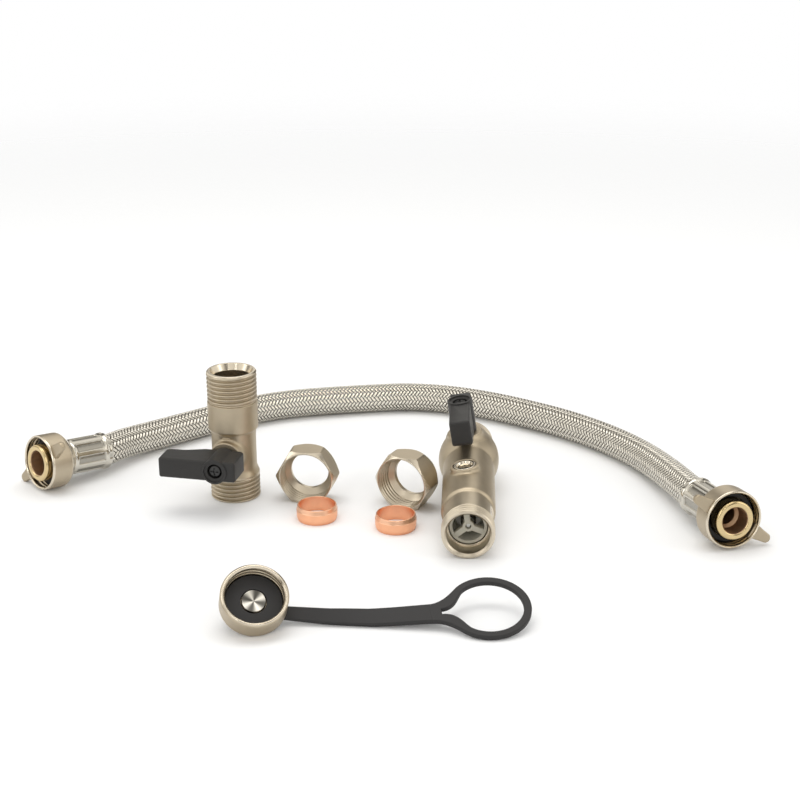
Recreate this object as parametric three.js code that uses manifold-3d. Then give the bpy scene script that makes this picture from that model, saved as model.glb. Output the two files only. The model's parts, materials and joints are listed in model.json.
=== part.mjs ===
// Filling loop kit for a sealed heating system: an isolating valve, a double check valve with its
// own isolating ball, a braided hose with two wing union nuts, two compression nuts with olives,
// and a blanking cap on a rubber strap. Millimetres, +Z up, laid out on the floor at Z = 0.

import * as THREE from "three";
import { mergeVertices } from "three/addons/utils/BufferGeometryUtils.js";
import Module from "manifold-3d";

const wasm = await Module();
wasm.setup();

// Driving dimensions shared by the whole kit
const GAP = 0.3; // clearance between pieces that touch
const ROUND_SIDES = 26; // facets round a large turned form
const INNER_SIDES = 16; // facets round a ring, sleeve or ball inside another piece
const SMALL_SIDES = 12; // facets round a small turned form
const THREAD_D = 20.955; // G1/2 male thread over its crests
const THREAD_CHAMFER = 0.6;
const EDGE = 0.8; // bevel on the rims of turned and forged forms
const FINE_EDGE = 0.4; // bevel on small rims
const FEMALE_THREAD_D = 21.4; // hollow of a nut or cap that takes the thread
const SOCKET_D = 15.4; // takes a 15 mm copper pipe
const SOCKET_CHAMFER = 1.3; // radial, of the cone that the olive is pressed into
const SOCKET_CONE = 2.6; // depth of that cone

// Lever and stem, the same on both valves
const LEVER_REACH = 24; // spindle axis to the tip
const LEVER_WIDTH = 8.6;
const LEVER_TIP_DEPTH = 11;
const LEVER_HUB_DEPTH = 14;
const LEVER_TAIL = 8.6; // spindle axis to the blunt end
const LEVER_HUB_D = 10.6;
const LEVER_HUB_RISE = 0.5; // hub disc above the paddle
const LEVER_BEVEL = 0.8;
const LEVER_GRIP = 8; // tip to the end of the grip's flat underside
const LEVER_STEP = 16; // tip to the hub's underside
const STEM_D = 5.2;
const STEM_FLANGE_D = 7.2;
const STEM_TANG = 2.4; // thickness of the tang in the ball's slot
const SLOT_DEPTH = 1.6;
const STEM_ENGAGEMENT = 9.5; // how far the stem reaches into the lever
const SCREW_HEAD_D = 5.6;
const SCREW_HEAD_H = 2.2;
const SCREW_D = 2.4;
const SCREW_LENGTH = 4;
const SCREW_RECESS = 3;
const GLAND_D = 8.4; // counterbore for the stem's seal
const GLAND_DEPTH = 1.6;

// Isolating valve, standing on its lower end
const ISO_LENGTH = 56;
const ISO_LOWER_THREAD = 10.9;
const ISO_UPPER_THREAD = 13;
const ISO_NECK_D = 18.7;
const ISO_NECK_FROM = 13.5;
const ISO_NECK_TO = 28;
const ISO_BARREL_FROM = 31;
const ISO_GROOVE = 0.3; // turned line under the upper thread
const ISO_SPINDLE = 20.8; // height of the spindle axis
const ISO_BALL_D = 13.2;
const ISO_BORE_D = 8.4;
const ISO_CAVITY_D = 14.4;
const ISO_LOWER_SOCKET = 10.6; // depth of the lower pipe socket
const ISO_UPPER_SOCKET = 21.5; // depth of the upper socket, down to the retainer
const ISO_RETAINER = 5.5;
const ISO_BOSS_D = 14;
const ISO_BOSS_REACH = 12; // spindle boss face from the pipe axis

// Double check valve, lying down with its mouth to the front
const CHECK_THREAD = 6.5;
const CHECK_COLLAR_D = 20;
const CHECK_COLLAR_TO = 18.7;
const CHECK_FLATS = 19;
const CHECK_TUBE_D = 21.7;
const CHECK_HOUSING_D = 25.8;
const CHECK_HOUSING_ARC = 29.7; // radius of the barrel outline
const CHECK_SPINDLE = 71.5; // mouth to spindle axis
const CHECK_HOUSING_END = CHECK_SPINDLE + 10.5;
const CHECK_LENGTH = CHECK_HOUSING_END + 8;
const CHECK_MOUTH_D = 16.8;
const CHECK_MOUTH_DEPTH = 7;
const CHECK_BORE_D = 15.5; // bore that both cartridges slide into
const CHECK_BORE_TO = CHECK_SPINDLE - 11.2;
const CHECK_BALL_D = 15.2;
const CHECK_BALL_BORE_D = 9.6;
const CHECK_CAVITY_D = 18.4;
const CHECK_BOSS_D = 15;
const CHECK_BOSS_REACH = 13.2;
const CHECK_ADAPTOR_COLLAR = 1.4;
const CHECK_ADAPTOR_BORE_D = 9.6;
const CHECK_REAR_SOCKET = 7.5;
const TEST_BOSS_D = 12;
const TEST_BOSS_REACH = 12;
const TEST_AT = CHECK_SPINDLE - 31.8; // mouth to test point, between the two cartridges
const TEST_PLUG_D = 9;
const TEST_POCKET = 2.4;
const TEST_PLUG_H = 1.5;
const TEST_HOLE_D = 4;
const TEST_SEAL_H = 0.6;
const CHECK_ROLL = 9; // degrees that the lever leans to the left

// Check cartridge: a plastic cage, a sprung poppet, a spring and an O-ring
const CAGE_LENGTH = 14;
const CAGE_INNER_D = 12.4;
const CAGE_SPOKE = 1.7;
const CAGE_SPOKE_H = 2.4;
const CAGE_HUB_D = 4.2;
const CAGE_HUB_HOLE_D = 2.3;
const CAGE_LIP_D = 8.6;
const CAGE_LIP_FROM = 11.3;
const CAGE_GROOVE_FROM = 6;
const CAGE_GROOVE_W = 2.6;
const CAGE_GROOVE_DEPTH = 0.9;
const POPPET_D = 10.8;
const POPPET_H = 1.8;
const POPPET_STEM_D = 1.6;
const POPPET_NECK = 1.2; // stem end behind the cage's front
const SPRING_D = 6.2;
const SPRING_WIRE = 0.6;
const SPRING_TURNS = 4;
const CARTRIDGE_AT = [CHECK_MOUTH_DEPTH + GAP, CHECK_BORE_TO - GAP - CAGE_LENGTH];

// Hose, union nuts and tails
const HOSE_D = 13.4;
const HOSE_SIDES = 8;
const HOSE_STEPS = 56;
const HOSE_CLEAR = 0.1; // hose above the floor
const UNION_D = 23.6;
const UNION_CYLINDER = 9.5;
const UNION_LENGTH = 12.6;
const UNION_BACK_D = 17.6;
const UNION_LIP = 3.4; // thickness of the inward lip at the back
const TAIL_NOSE_D = 15.8;
const TAIL_NOSE_OUT = 1; // how far the nose stands out of the nut
const TAIL_FLANGE_D = 19.8;
const TAIL_FLANGE_H = 1.8;
const TAIL_NECK_D = 11.2;
const TAIL_BORE_D = 10.6;
const TAIL_BORE_DEPTH = 6.6;
const TAIL_THROAT_D = 7.8;
const TAIL_END = 17;
const UNION_WASHER_D = 20.4;
const UNION_WASHER_H = 2.2;
const FERRULE_FROM = 13;
const FERRULE_LENGTH = 20;
const FERRULE_D = 15.4;
const FERRULE_RING_D = 16.3;
const FERRULE_RING_W = 2.2;
const FERRULE_LIP = 3;
const FLUTES = 10;
const FLUTE_D = 2.2;
const FLUTE_DEPTH = 0.3;
const WING_REACH = 19.3; // nut axis to the wing's tip
const WING_WIDTH = 5.6;
const WING_TIP = 4; // width of the rounded tip
const WING_THICK = 2.2;
const WING_SETBACK = 1;

// Loose nuts and olives
const NUT_FLATS = 22.8;
const NUT_LENGTH = 11.6;
const NUT_CHAMFER = 1.8; // height of the turned corners in front
const NUT_BACK_CHAMFER = 3.4; // and behind
const NUT_PIPE_HOLE_D = 16;
const NUT_THREAD_DEPTH = 8;
const NUT_CONE = 1.6;
const OLIVE_BORE_D = 15.1;
const OLIVE_END_D = 16;
const OLIVE_RIDGE_D = 16.9;
const OLIVE_HEIGHT = 6.3;
const OLIVE_RIDGE_AT = 0.72; // share of the height

// Blanking cap and strap
const CAP_D = 24.2;
const CAP_HEIGHT = 8.3;
const CAP_FLOOR = 1.4;
const CAP_CHAMFER = 0.7;
const CAP_WASHER_D = 20.4;
const CAP_WASHER_H = 1.2;
const RIVET_HEAD_D = 8.6;
const RIVET_HEAD_H = 1.6;
const RIVET_SHANK_D = 3.8;
const RIVET_FOOT_D = 9;
const RIVET_FOOT_H = 3.2;
const EYELET_D = 12;
const STRAP_THICK = 2;
const STRAP_CLEAR = 0.05; // strap above the floor
const STRAP_OVERLAP = 0.6; // band let into the loop's neck
const STRAP_SAG = 1.6; // how far the band drops between the cap and the loop
const LOOP_D = 30.2;
const LOOP_BAND = 2.8;
const LOOP_TILT = 16; // degrees, front edge on the floor
const LOOP_TURN = 8.5; // degrees that the neck points to the front
const LOOP_NECK = 21.3; // loop's centre to the end of the band
const LOOP_NOTCH = 17; // loop's centre to the tip of its opening
const LOOP_NOTCH_W = 2.4; // width of that tip
const LOOP_SHOULDER = 128; // degrees from the far side to where the ring turns into its arms
const LOOP_PULL = 6; // how long the arms keep the band's direction
const ARM_STEPS = 5;
const STRAP_ROOT = { x: 3.5, y: -2.2 }; // start of the band in the cap's plane
const STRAP_LEAVE = { x: 12.8, y: -4.5 }; // where the band leaves the cap's plane
const STRAP_HOLD = 0.2; // share of the band that keeps the cap's tilt
const STRAP_NARROW = 4.4; // width at the eyelet
const STRAP_WIDE = 8.4; // width at the loop
const STRAP_STATIONS = 9;

// Layout on the floor, x and y from the middle of the kit
const ISO_PLACE = { x: -43.6, y: 51.8, turn: -12 };
const CHECK_PLACE = { x: 52.7, y: -12, turn: -2.7 };
const NUT_PLACES = {
  left: { x: -12.2, y: 47, turn: -8 },
  right: { x: 30, y: 41, turn: -28 },
};
const OLIVE_PLACES = {
  left: { x: -7.6, y: 27 },
  right: { x: 24.8, y: 17.9 },
};
const CAP_PLACE = { x: -25.2, y: -62.9, turn: 15 };
const LOOP_PLACE = { x: 58, y: -61.1 };
const UNION_PLACES = {
  left: { x: -127.9, y: 55.6, turn: -45, wings: 38 },
  right: { x: 156.7, y: -3.3, turn: 15, wings: -33 },
};
const UNION_TILT = 6; // degrees that each nut's mouth looks up
const HOSE_ROUTE = [ // x, y and how far the hose is lifted off the floor
  [-97.8, 89.5, 1.6], [-85.7, 103.6, 0.3], [-72.7, 115.4, 0], [-58.1, 127.4, 0],
  [-43.1, 138.2, 0], [-26.2, 146, 0], [-6.9, 150.8, 0], [12.7, 154.2, 0],
  [28.5, 156, 0], [44.2, 154.2, 0], [59.8, 148.8, 0], [74.9, 140.6, 0],
  [89.5, 130.4, 0], [103.8, 118.6, 0], [116.6, 105, 0], [126.9, 91, 0],
  [135.2, 75.2, 0.2], [141, 56.8, 1.2],
];

// Materials
const finish = (color, roughness, metalness) =>
  new THREE.MeshStandardMaterial({ color, roughness, metalness });
const nickel = () => finish(0xa39a87, 0.34, 1);
const brightNickel = () => finish(0xc4bcaa, 0.22, 1);
const brass = () => finish(0xc09650, 0.3, 1);
const copper = () => finish(0xd08c6c, 0.36, 1);
const steel = () => finish(0xb4b0a6, 0.3, 1);
const blackPlastic = () => finish(0x333231, 0.5, 0);
const blackRubber = () => finish(0x2b2b2b, 0.62, 0);
const whiteSeat = () => finish(0xe8e6df, 0.5, 0);
const greyPlastic = () => finish(0x8d897c, 0.55, 0);
const braid = () => finish(0xb9b4a6, 0.42, 0.8);

const radians = THREE.MathUtils.degToRad;

// Solids: every shape below is a closed surface, turned the right way out
function closed(geometry) {
  const bare = geometry.clone();
  bare.deleteAttribute("normal");
  bare.deleteAttribute("uv");
  bare.clearGroups();
  const merged = mergeVertices(bare, 1e-4);
  const index = Uint32Array.from(merged.index.array);
  const place = merged.attributes.position.array;
  const kept = [];
  let volume = 0;
  for (let i = 0; i < index.length; i += 3) {
    const [a, b, c] = [index[i], index[i + 1], index[i + 2]];
    if (a === b || b === c || c === a) continue;
    kept.push(a, b, c);
    const p = new THREE.Vector3().fromArray(place, 3 * a);
    const q = new THREE.Vector3().fromArray(place, 3 * b);
    const r = new THREE.Vector3().fromArray(place, 3 * c);
    volume += p.dot(q.cross(r));
  }
  if (volume < 0) {
    for (let i = 0; i < kept.length; i += 3) [kept[i], kept[i + 1]] = [kept[i + 1], kept[i]];
  }
  return { place: Float32Array.from(place), triangles: Uint32Array.from(kept) };
}

function solid(geometry) {
  const { place, triangles } = closed(geometry);
  return new wasm.Manifold(new wasm.Mesh({ numProp: 3, vertProperties: place, triVerts: triangles }));
}

function geometryOf(body) {
  const mesh = body.getMesh();
  const place = new Float32Array(mesh.numVert * 3);
  for (let i = 0; i < mesh.numVert; i += 1) {
    place.set(mesh.vertProperties.subarray(i * mesh.numProp, i * mesh.numProp + 3), i * 3);
  }
  const geometry = new THREE.BufferGeometry();
  geometry.setAttribute("position", new THREE.BufferAttribute(place, 3));
  geometry.setIndex(new THREE.BufferAttribute(mesh.triVerts, 1));
  geometry.computeVertexNormals();
  return geometry;
}

const joined = (...shapes) => shapes.map(solid).reduce((whole, next) => whole.add(next));
const cut = (body, ...tools) => tools.map(solid).reduce((rest, tool) => rest.subtract(tool), body);

// A form turned about Z from a profile of [radius, height] points
function turned(profile, sides = ROUND_SIDES) {
  const points = profile.map(([r, z]) => new THREE.Vector2(r, z));
  const touchesAxis = profile[0][0] === 0 && profile[profile.length - 1][0] === 0;
  if (!touchesAxis) points.push(points[0].clone());
  return new THREE.LatheGeometry(points, sides).rotateX(Math.PI / 2);
}

const rod = (diameter, from, to, sides = SMALL_SIDES) =>
  turned([[0, from], [diameter / 2, from], [diameter / 2, to], [0, to]], sides);

const tube = (outer, inner, from, to, sides = INNER_SIDES) =>
  turned([[inner / 2, from], [outer / 2, from], [outer / 2, to], [inner / 2, to]], sides);

const block = (x, y, z) => new THREE.BoxGeometry(x, y, z);

// A form turned about the spindle, whose axis runs along -Y at a height on the pipe axis
const onSpindle = (geometry, height) => geometry.rotateX(Math.PI / 2).translate(0, 0, height);

function plate(outline, thickness, bevel) {
  const shape = new THREE.Shape(outline.map(([x, y]) => new THREE.Vector2(x, y)));
  const inset = {
    depth: thickness - 2 * bevel,
    bevelEnabled: bevel > 0,
    bevelThickness: bevel,
    bevelSize: bevel,
    bevelOffset: -bevel,
    bevelSegments: 2,
  };
  return new THREE.ExtrudeGeometry(shape, inset).translate(0, 0, bevel - thickness / 2);
}

// A closed skin through rings of points that all have the same count
function lofted(rings) {
  const count = rings[0].length;
  const place = rings.flat().flatMap((p) => [p.x, p.y, p.z]);
  const index = [];
  for (let i = 0; i + 1 < rings.length; i += 1) {
    for (let j = 0; j < count; j += 1) {
      const a = i * count + j;
      const b = i * count + ((j + 1) % count);
      index.push(a, b, b + count, a, b + count, a + count);
    }
  }
  const last = (rings.length - 1) * count;
  for (let j = 1; j + 1 < count; j += 1) {
    index.push(0, j + 1, j);
    index.push(last, last + j, last + j + 1);
  }
  const geometry = new THREE.BufferGeometry();
  geometry.setAttribute("position", new THREE.Float32BufferAttribute(place, 3));
  geometry.setIndex(index);
  return geometry;
}

function swept(curve, radius, sides, steps) {
  const corner = (_, i) => {
    const angle = (2 * Math.PI * i) / sides;
    return new THREE.Vector2(radius * Math.cos(angle), radius * Math.sin(angle));
  };
  const section = new THREE.Shape(Array.from({ length: sides }, corner));
  return new THREE.ExtrudeGeometry(section, { steps, extrudePath: curve });
}

class Helix extends THREE.Curve {
  constructor(radius, from, to, turns) {
    super();
    Object.assign(this, { radius, from, to, turns });
  }
  getPoint(t, target = new THREE.Vector3()) {
    const angle = 2 * Math.PI * this.turns * t;
    const height = THREE.MathUtils.lerp(this.from, this.to, t);
    return target.set(this.radius * Math.cos(angle), this.radius * Math.sin(angle), height);
  }
}

const kit = new THREE.Group();

function piece(parent, name, shape, material) {
  const geometry = shape instanceof THREE.BufferGeometry ? geometryOf(solid(shape)) : geometryOf(shape);
  const mesh = new THREE.Mesh(geometry, material);
  mesh.name = name;
  parent.add(mesh);
  return mesh;
}

// Ball, seats, stem, seal, lever and screw, the same design on both valves
const seatFaces = (ballD) => ({ near: 0.27 * ballD, far: 0.38 * ballD, base: ballD / 2 + 0.4 });

function ballPiece(ballD, boreD, spindle, boreTurn) {
  const across = 2 * ballD;
  const sphere = new THREE.SphereGeometry(ballD / 2, INNER_SIDES, SMALL_SIDES);
  const bore = rod(boreD, -ballD, ballD).rotateY(boreTurn);
  const slot = block(STEM_TANG + 2 * GAP, 2 * SLOT_DEPTH, across);
  slot.rotateY(boreTurn).translate(0, -ballD / 2, 0);
  return geometryOf(cut(solid(sphere), bore, slot)).translate(0, 0, spindle);
}

// Seat ring: flat base outwards, cone clear of the ball; side is 1 above the ball and -1 below
function seatPiece(ballD, boreD, cavityD, spindle, side) {
  const { near, far, base } = seatFaces(ballD);
  const clear = ballD / 2 + GAP;
  const outer = cavityD / 2 - GAP;
  const profile = [
    [boreD / 2 + 0.2, base],
    [outer, base],
    [outer, near],
    [Math.sqrt(clear ** 2 - near ** 2), near],
    [Math.sqrt(clear ** 2 - far ** 2), far],
  ];
  return turned(profile.map(([r, d]) => [r, spindle + side * d]), INNER_SIDES);
}

const hubFace = (bossReach) => bossReach + GAP + LEVER_HUB_DEPTH;
const stemTop = (bossReach) => bossReach + GAP + STEM_ENGAGEMENT;

function stemPiece(ballD, cavityD, bossReach, spindle, tangTurn) {
  const start = ballD / 2 + GAP;
  const flangeTo = stemFlangeTo(cavityD);
  const top = stemTop(bossReach);
  const shaft = turned([
    [0, start],
    [STEM_FLANGE_D / 2, start],
    [STEM_FLANGE_D / 2, flangeTo],
    [STEM_D / 2, flangeTo],
    [STEM_D / 2, top],
    [0, top],
  ], SMALL_SIDES);
  const tangDepth = SLOT_DEPTH - GAP;
  const tang = block(STEM_TANG, STEM_D, tangDepth + 2 * GAP);
  tang.rotateZ(tangTurn).translate(0, 0, start - tangDepth / 2);
  const screwHole = rod(SCREW_D + 2 * GAP, top - SCREW_LENGTH - 1, top + 1);
  return geometryOf(cut(joined(shaft, tang), screwHole)).rotateX(Math.PI / 2).translate(0, 0, spindle);
}

// The stem's flange turns in a pocket that opens into the ball's cavity
const stemFlangeTo = (cavityD) => cavityD / 2 + 1.2;

function spindleHoles(cavityD, bossReach, spindle) {
  const pocket = rod(STEM_FLANGE_D + 2 * GAP, 0, stemFlangeTo(cavityD) + GAP);
  const hole = rod(STEM_D + 2 * GAP, 0, bossReach + 5);
  const gland = rod(GLAND_D, bossReach - GLAND_DEPTH, bossReach + 5);
  return [pocket, hole, gland].map((shape) => onSpindle(shape, spindle));
}

const stemSealPiece = (bossReach, spindle) => {
  const base = bossReach - GLAND_DEPTH + GAP;
  return onSpindle(tube(GLAND_D - 2 * GAP, STEM_D + 2 * GAP, base, bossReach - 0.1, SMALL_SIDES), spindle);
};

// Lever in its own frame: paddle along +X, spindle along +Z with the paddle's face at Z = 0
function leverPiece() {
  const side = [
    [-LEVER_TAIL, -1], [-LEVER_TAIL + 1, 0], [LEVER_REACH - 0.8, 0], [LEVER_REACH, -0.8],
    [LEVER_REACH, -LEVER_TIP_DEPTH + 1.2], [LEVER_REACH - 1.2, -LEVER_TIP_DEPTH],
    [LEVER_REACH - LEVER_GRIP, -LEVER_TIP_DEPTH - 0.3], [LEVER_REACH - LEVER_STEP, -LEVER_HUB_DEPTH],
    [-LEVER_TAIL + 1.4, -LEVER_HUB_DEPTH], [-LEVER_TAIL, -LEVER_HUB_DEPTH + 1.4],
  ];
  const paddle = plate(side, LEVER_WIDTH, LEVER_BEVEL).rotateX(Math.PI / 2);
  const hub = rod(LEVER_HUB_D, -LEVER_HUB_DEPTH, LEVER_HUB_RISE);
  const recess = rod(SCREW_HEAD_D + 2 * GAP, -SCREW_RECESS, 5);
  const stemHole = rod(STEM_D + 2 * GAP, -LEVER_HUB_DEPTH - 1, -LEVER_HUB_DEPTH + STEM_ENGAGEMENT + GAP);
  const screwHole = rod(SCREW_D + 2 * GAP, -LEVER_HUB_DEPTH, 1);
  return cut(joined(paddle, hub), recess, stemHole, screwHole);
}

function screwPiece() {
  const seat = -SCREW_RECESS + GAP;
  const head = seat + SCREW_HEAD_H;
  const tip = -LEVER_HUB_DEPTH + STEM_ENGAGEMENT - SCREW_LENGTH;
  const body = turned([
    [0, tip],
    [SCREW_D / 2, tip],
    [SCREW_D / 2, seat],
    [SCREW_HEAD_D / 2, seat],
    [SCREW_HEAD_D / 2, head - 0.6],
    [SCREW_HEAD_D / 2 - 0.8, head],
    [0, head],
  ], SMALL_SIDES);
  const slots = [0, Math.PI / 2].map((turn) => block(0.9, 3.6, 1.6).rotateZ(turn).translate(0, 0, head));
  return cut(solid(body), ...slots);
}

// Lever and screw carried to a valve: lever frame Z becomes the spindle's -Y
function addLever(parent, prefix, bossReach, spindle, quarterTurn) {
  const seat = new THREE.Group();
  seat.position.set(0, -hubFace(bossReach), spindle);
  seat.rotation.x = Math.PI / 2;
  const dial = new THREE.Group();
  dial.rotation.z = quarterTurn;
  seat.add(dial);
  parent.add(seat);
  piece(dial, `${prefix}_lever`, leverPiece(), blackPlastic());
  piece(dial, `${prefix}_lever_screw`, screwPiece(), steel());
}

function addBallValve(parent, prefix, size) {
  const { ballD, boreD, cavityD, bossReach, spindle, closedNow } = size;
  const boreTurn = closedNow ? Math.PI / 2 : 0;
  const tangTurn = closedNow ? Math.PI / 2 : 0;
  piece(parent, `${prefix}_ball`, ballPiece(ballD, boreD, spindle, boreTurn), brightNickel());
  piece(parent, `${prefix}_front_seat`, seatPiece(ballD, boreD, cavityD, spindle, -1), whiteSeat());
  piece(parent, `${prefix}_rear_seat`, seatPiece(ballD, boreD, cavityD, spindle, 1), whiteSeat());
  piece(parent, `${prefix}_stem`, stemPiece(ballD, cavityD, bossReach, spindle, tangTurn), brass());
  piece(parent, `${prefix}_stem_seal`, stemSealPiece(bossReach, spindle), blackRubber());
  addLever(parent, prefix, bossReach, spindle, closedNow ? Math.PI : -Math.PI / 2);
}

// Isolating valve: one turned and forged body with a male thread at each end
function addIsolatingValve() {
  const valve = new THREE.Group();
  valve.position.set(ISO_PLACE.x, ISO_PLACE.y, 0);
  valve.rotation.z = radians(ISO_PLACE.turn);
  kit.add(valve);

  const threadR = THREAD_D / 2;
  const neckR = ISO_NECK_D / 2;
  const socketR = SOCKET_D / 2;
  const boreR = ISO_BORE_D / 2;
  const cavityR = ISO_CAVITY_D / 2;
  const upperThread = ISO_LENGTH - ISO_UPPER_THREAD;
  const base = seatFaces(ISO_BALL_D).base + GAP;
  const cavityFloor = ISO_SPINDLE - base;
  const retainerFrom = ISO_SPINDLE + base;
  const body = turned([
    [threadR - THREAD_CHAMFER, 0],
    [threadR, THREAD_CHAMFER],
    [threadR, ISO_LOWER_THREAD],
    [neckR, ISO_NECK_FROM],
    [neckR, ISO_NECK_TO],
    [threadR - EDGE, ISO_BARREL_FROM - EDGE],
    [threadR, ISO_BARREL_FROM],
    [threadR, upperThread],
    [threadR - ISO_GROOVE, upperThread + ISO_GROOVE],
    [threadR, upperThread + 3 * ISO_GROOVE],
    [threadR, ISO_LENGTH - THREAD_CHAMFER],
    [threadR - THREAD_CHAMFER, ISO_LENGTH],
    [socketR + SOCKET_CHAMFER, ISO_LENGTH],
    [socketR, ISO_LENGTH - SOCKET_CONE],
    [socketR, ISO_LENGTH - ISO_UPPER_SOCKET],
    [cavityR, ISO_LENGTH - ISO_UPPER_SOCKET],
    [cavityR, cavityFloor],
    [boreR, cavityFloor],
    [boreR, ISO_LOWER_SOCKET],
    [socketR, ISO_LOWER_SOCKET],
    [socketR, SOCKET_CONE],
    [socketR + SOCKET_CHAMFER, 0],
  ]);
  const boss = onSpindle(turned([
    [0, cavityR + 1],
    [ISO_BOSS_D / 2 + EDGE, cavityR + 1],
    [ISO_BOSS_D / 2, ISO_BOSS_REACH - EDGE],
    [ISO_BOSS_D / 2 - EDGE, ISO_BOSS_REACH],
    [0, ISO_BOSS_REACH],
  ]), ISO_SPINDLE);
  const bodySolid = cut(joined(body, boss), ...spindleHoles(ISO_CAVITY_D, ISO_BOSS_REACH, ISO_SPINDLE));
  piece(valve, "isolating_valve_body", bodySolid, nickel());

  const retainer = tube(ISO_CAVITY_D - 2 * GAP, ISO_BORE_D, retainerFrom, retainerFrom + ISO_RETAINER);
  const keyway = block(ISO_CAVITY_D, 2, 3).translate(0, 0, retainerFrom + ISO_RETAINER);
  piece(valve, "isolating_retainer", cut(solid(retainer), keyway), brass());

  addBallValve(valve, "isolating", {
    ballD: ISO_BALL_D,
    boreD: ISO_BORE_D,
    cavityD: ISO_CAVITY_D,
    bossReach: ISO_BOSS_REACH,
    spindle: ISO_SPINDLE,
    closedNow: true,
  });
}

// Outline of the barrel that holds the ball: an arc that meets the tube's and the end's radius
function housingRadius(z) {
  const away = z - CHECK_SPINDLE;
  return Math.sqrt(CHECK_HOUSING_ARC ** 2 - away ** 2) - CHECK_HOUSING_ARC + CHECK_HOUSING_D / 2;
}

function housingStart() {
  const drop = CHECK_HOUSING_ARC - (CHECK_HOUSING_D - CHECK_TUBE_D) / 2;
  return CHECK_SPINDLE - Math.sqrt(CHECK_HOUSING_ARC ** 2 - drop ** 2);
}

function checkBody() {
  const threadR = THREAD_D / 2;
  const tubeR = CHECK_TUBE_D / 2;
  const mouthR = CHECK_MOUTH_D / 2;
  const boreR = CHECK_BORE_D / 2;
  const cavityR = CHECK_CAVITY_D / 2;
  const cavityFloor = CHECK_SPINDLE - seatFaces(CHECK_BALL_D).base - GAP;
  const start = housingStart();
  const steps = 6;
  const barrel = Array.from({ length: steps + 1 }, (_, i) => {
    const z = THREE.MathUtils.lerp(start, CHECK_HOUSING_END - EDGE, i / steps);
    return [housingRadius(z), z];
  });
  const outline = [
    [threadR - THREAD_CHAMFER, 0],
    [threadR, THREAD_CHAMFER],
    [threadR, CHECK_THREAD],
    [CHECK_COLLAR_D / 2, CHECK_THREAD + THREAD_CHAMFER],
    [CHECK_COLLAR_D / 2, CHECK_COLLAR_TO],
    [tubeR, CHECK_COLLAR_TO + 1],
    ...barrel,
    [housingRadius(CHECK_HOUSING_END) - EDGE, CHECK_HOUSING_END],
    [cavityR, CHECK_HOUSING_END],
    [cavityR, cavityFloor],
    [CHECK_BALL_BORE_D / 2, cavityFloor],
    [CHECK_BALL_BORE_D / 2, CHECK_BORE_TO],
    [boreR, CHECK_BORE_TO],
    [boreR, CHECK_MOUTH_DEPTH],
    [mouthR, CHECK_MOUTH_DEPTH],
    [mouthR, EDGE],
    [mouthR + EDGE, 0],
  ];
  const bossRod = rod(CHECK_BOSS_D, cavityR + 1, CHECK_BOSS_REACH, ROUND_SIDES);
  const spindleBoss = onSpindle(bossRod, CHECK_SPINDLE);
  const testBoss = onSpindle(rod(TEST_BOSS_D, boreR + 1, TEST_BOSS_REACH, ROUND_SIDES), TEST_AT);
  const pocketRod = rod(TEST_PLUG_D + 2 * GAP, TEST_BOSS_REACH - TEST_POCKET, TEST_BOSS_REACH + 2);
  const pocket = onSpindle(pocketRod, TEST_AT);
  const testHole = onSpindle(rod(TEST_HOLE_D, 0, TEST_BOSS_REACH), TEST_AT);
  const flatCentre = (CHECK_THREAD + THREAD_CHAMFER + CHECK_COLLAR_TO) / 2;
  const flatLength = CHECK_COLLAR_TO - CHECK_THREAD - 3 * EDGE;
  const flats = [-1, 1].map((side) => {
    const x = side * (CHECK_FLATS / 2 + 2);
    return block(4, THREAD_D + 2, flatLength).translate(x, 0, flatCentre);
  });
  const holes = spindleHoles(CHECK_CAVITY_D, CHECK_BOSS_REACH, CHECK_SPINDLE);
  return cut(joined(turned(outline), spindleBoss, testBoss), pocket, testHole, ...flats, ...holes);
}

function adaptorPiece() {
  const threadR = THREAD_D / 2;
  const socketR = SOCKET_D / 2;
  const from = CHECK_SPINDLE + seatFaces(CHECK_BALL_D).base + GAP;
  const collarFrom = CHECK_HOUSING_END + GAP;
  return turned([
    [CHECK_ADAPTOR_BORE_D / 2, from],
    [CHECK_CAVITY_D / 2 - GAP, from],
    [CHECK_CAVITY_D / 2 - GAP, collarFrom],
    [threadR + FINE_EDGE, collarFrom],
    [threadR + FINE_EDGE, collarFrom + CHECK_ADAPTOR_COLLAR],
    [threadR, collarFrom + CHECK_ADAPTOR_COLLAR + FINE_EDGE],
    [threadR, CHECK_LENGTH - THREAD_CHAMFER],
    [threadR - THREAD_CHAMFER, CHECK_LENGTH],
    [socketR + SOCKET_CHAMFER, CHECK_LENGTH],
    [socketR, CHECK_LENGTH - SOCKET_CONE],
    [socketR, CHECK_LENGTH - CHECK_REAR_SOCKET],
    [CHECK_ADAPTOR_BORE_D / 2, CHECK_LENGTH - CHECK_REAR_SOCKET],
  ]);
}

// Test plug: a low screwed plug with a cross slot, on a soft seal in the boss's pocket
function testPlugPiece() {
  const seat = TEST_BOSS_REACH - TEST_POCKET + TEST_SEAL_H + 2 * GAP;
  const top = Math.min(seat + TEST_PLUG_H, TEST_BOSS_REACH);
  const body = turned([
    [0, seat - 3],
    [TEST_HOLE_D / 2 - GAP, seat - 3],
    [TEST_HOLE_D / 2 - GAP, seat],
    [TEST_PLUG_D / 2, seat],
    [TEST_PLUG_D / 2, top],
    [TEST_PLUG_D / 2 - 1, top],
    [TEST_PLUG_D / 2 - 1.6, top - 0.7],
    [0, top - 0.7],
  ], SMALL_SIDES);
  const slot = block(1.2, 5.6, 1).translate(0, 0, top - 0.7);
  return geometryOf(cut(solid(body), slot)).rotateX(Math.PI / 2).translate(0, 0, TEST_AT);
}

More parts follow.
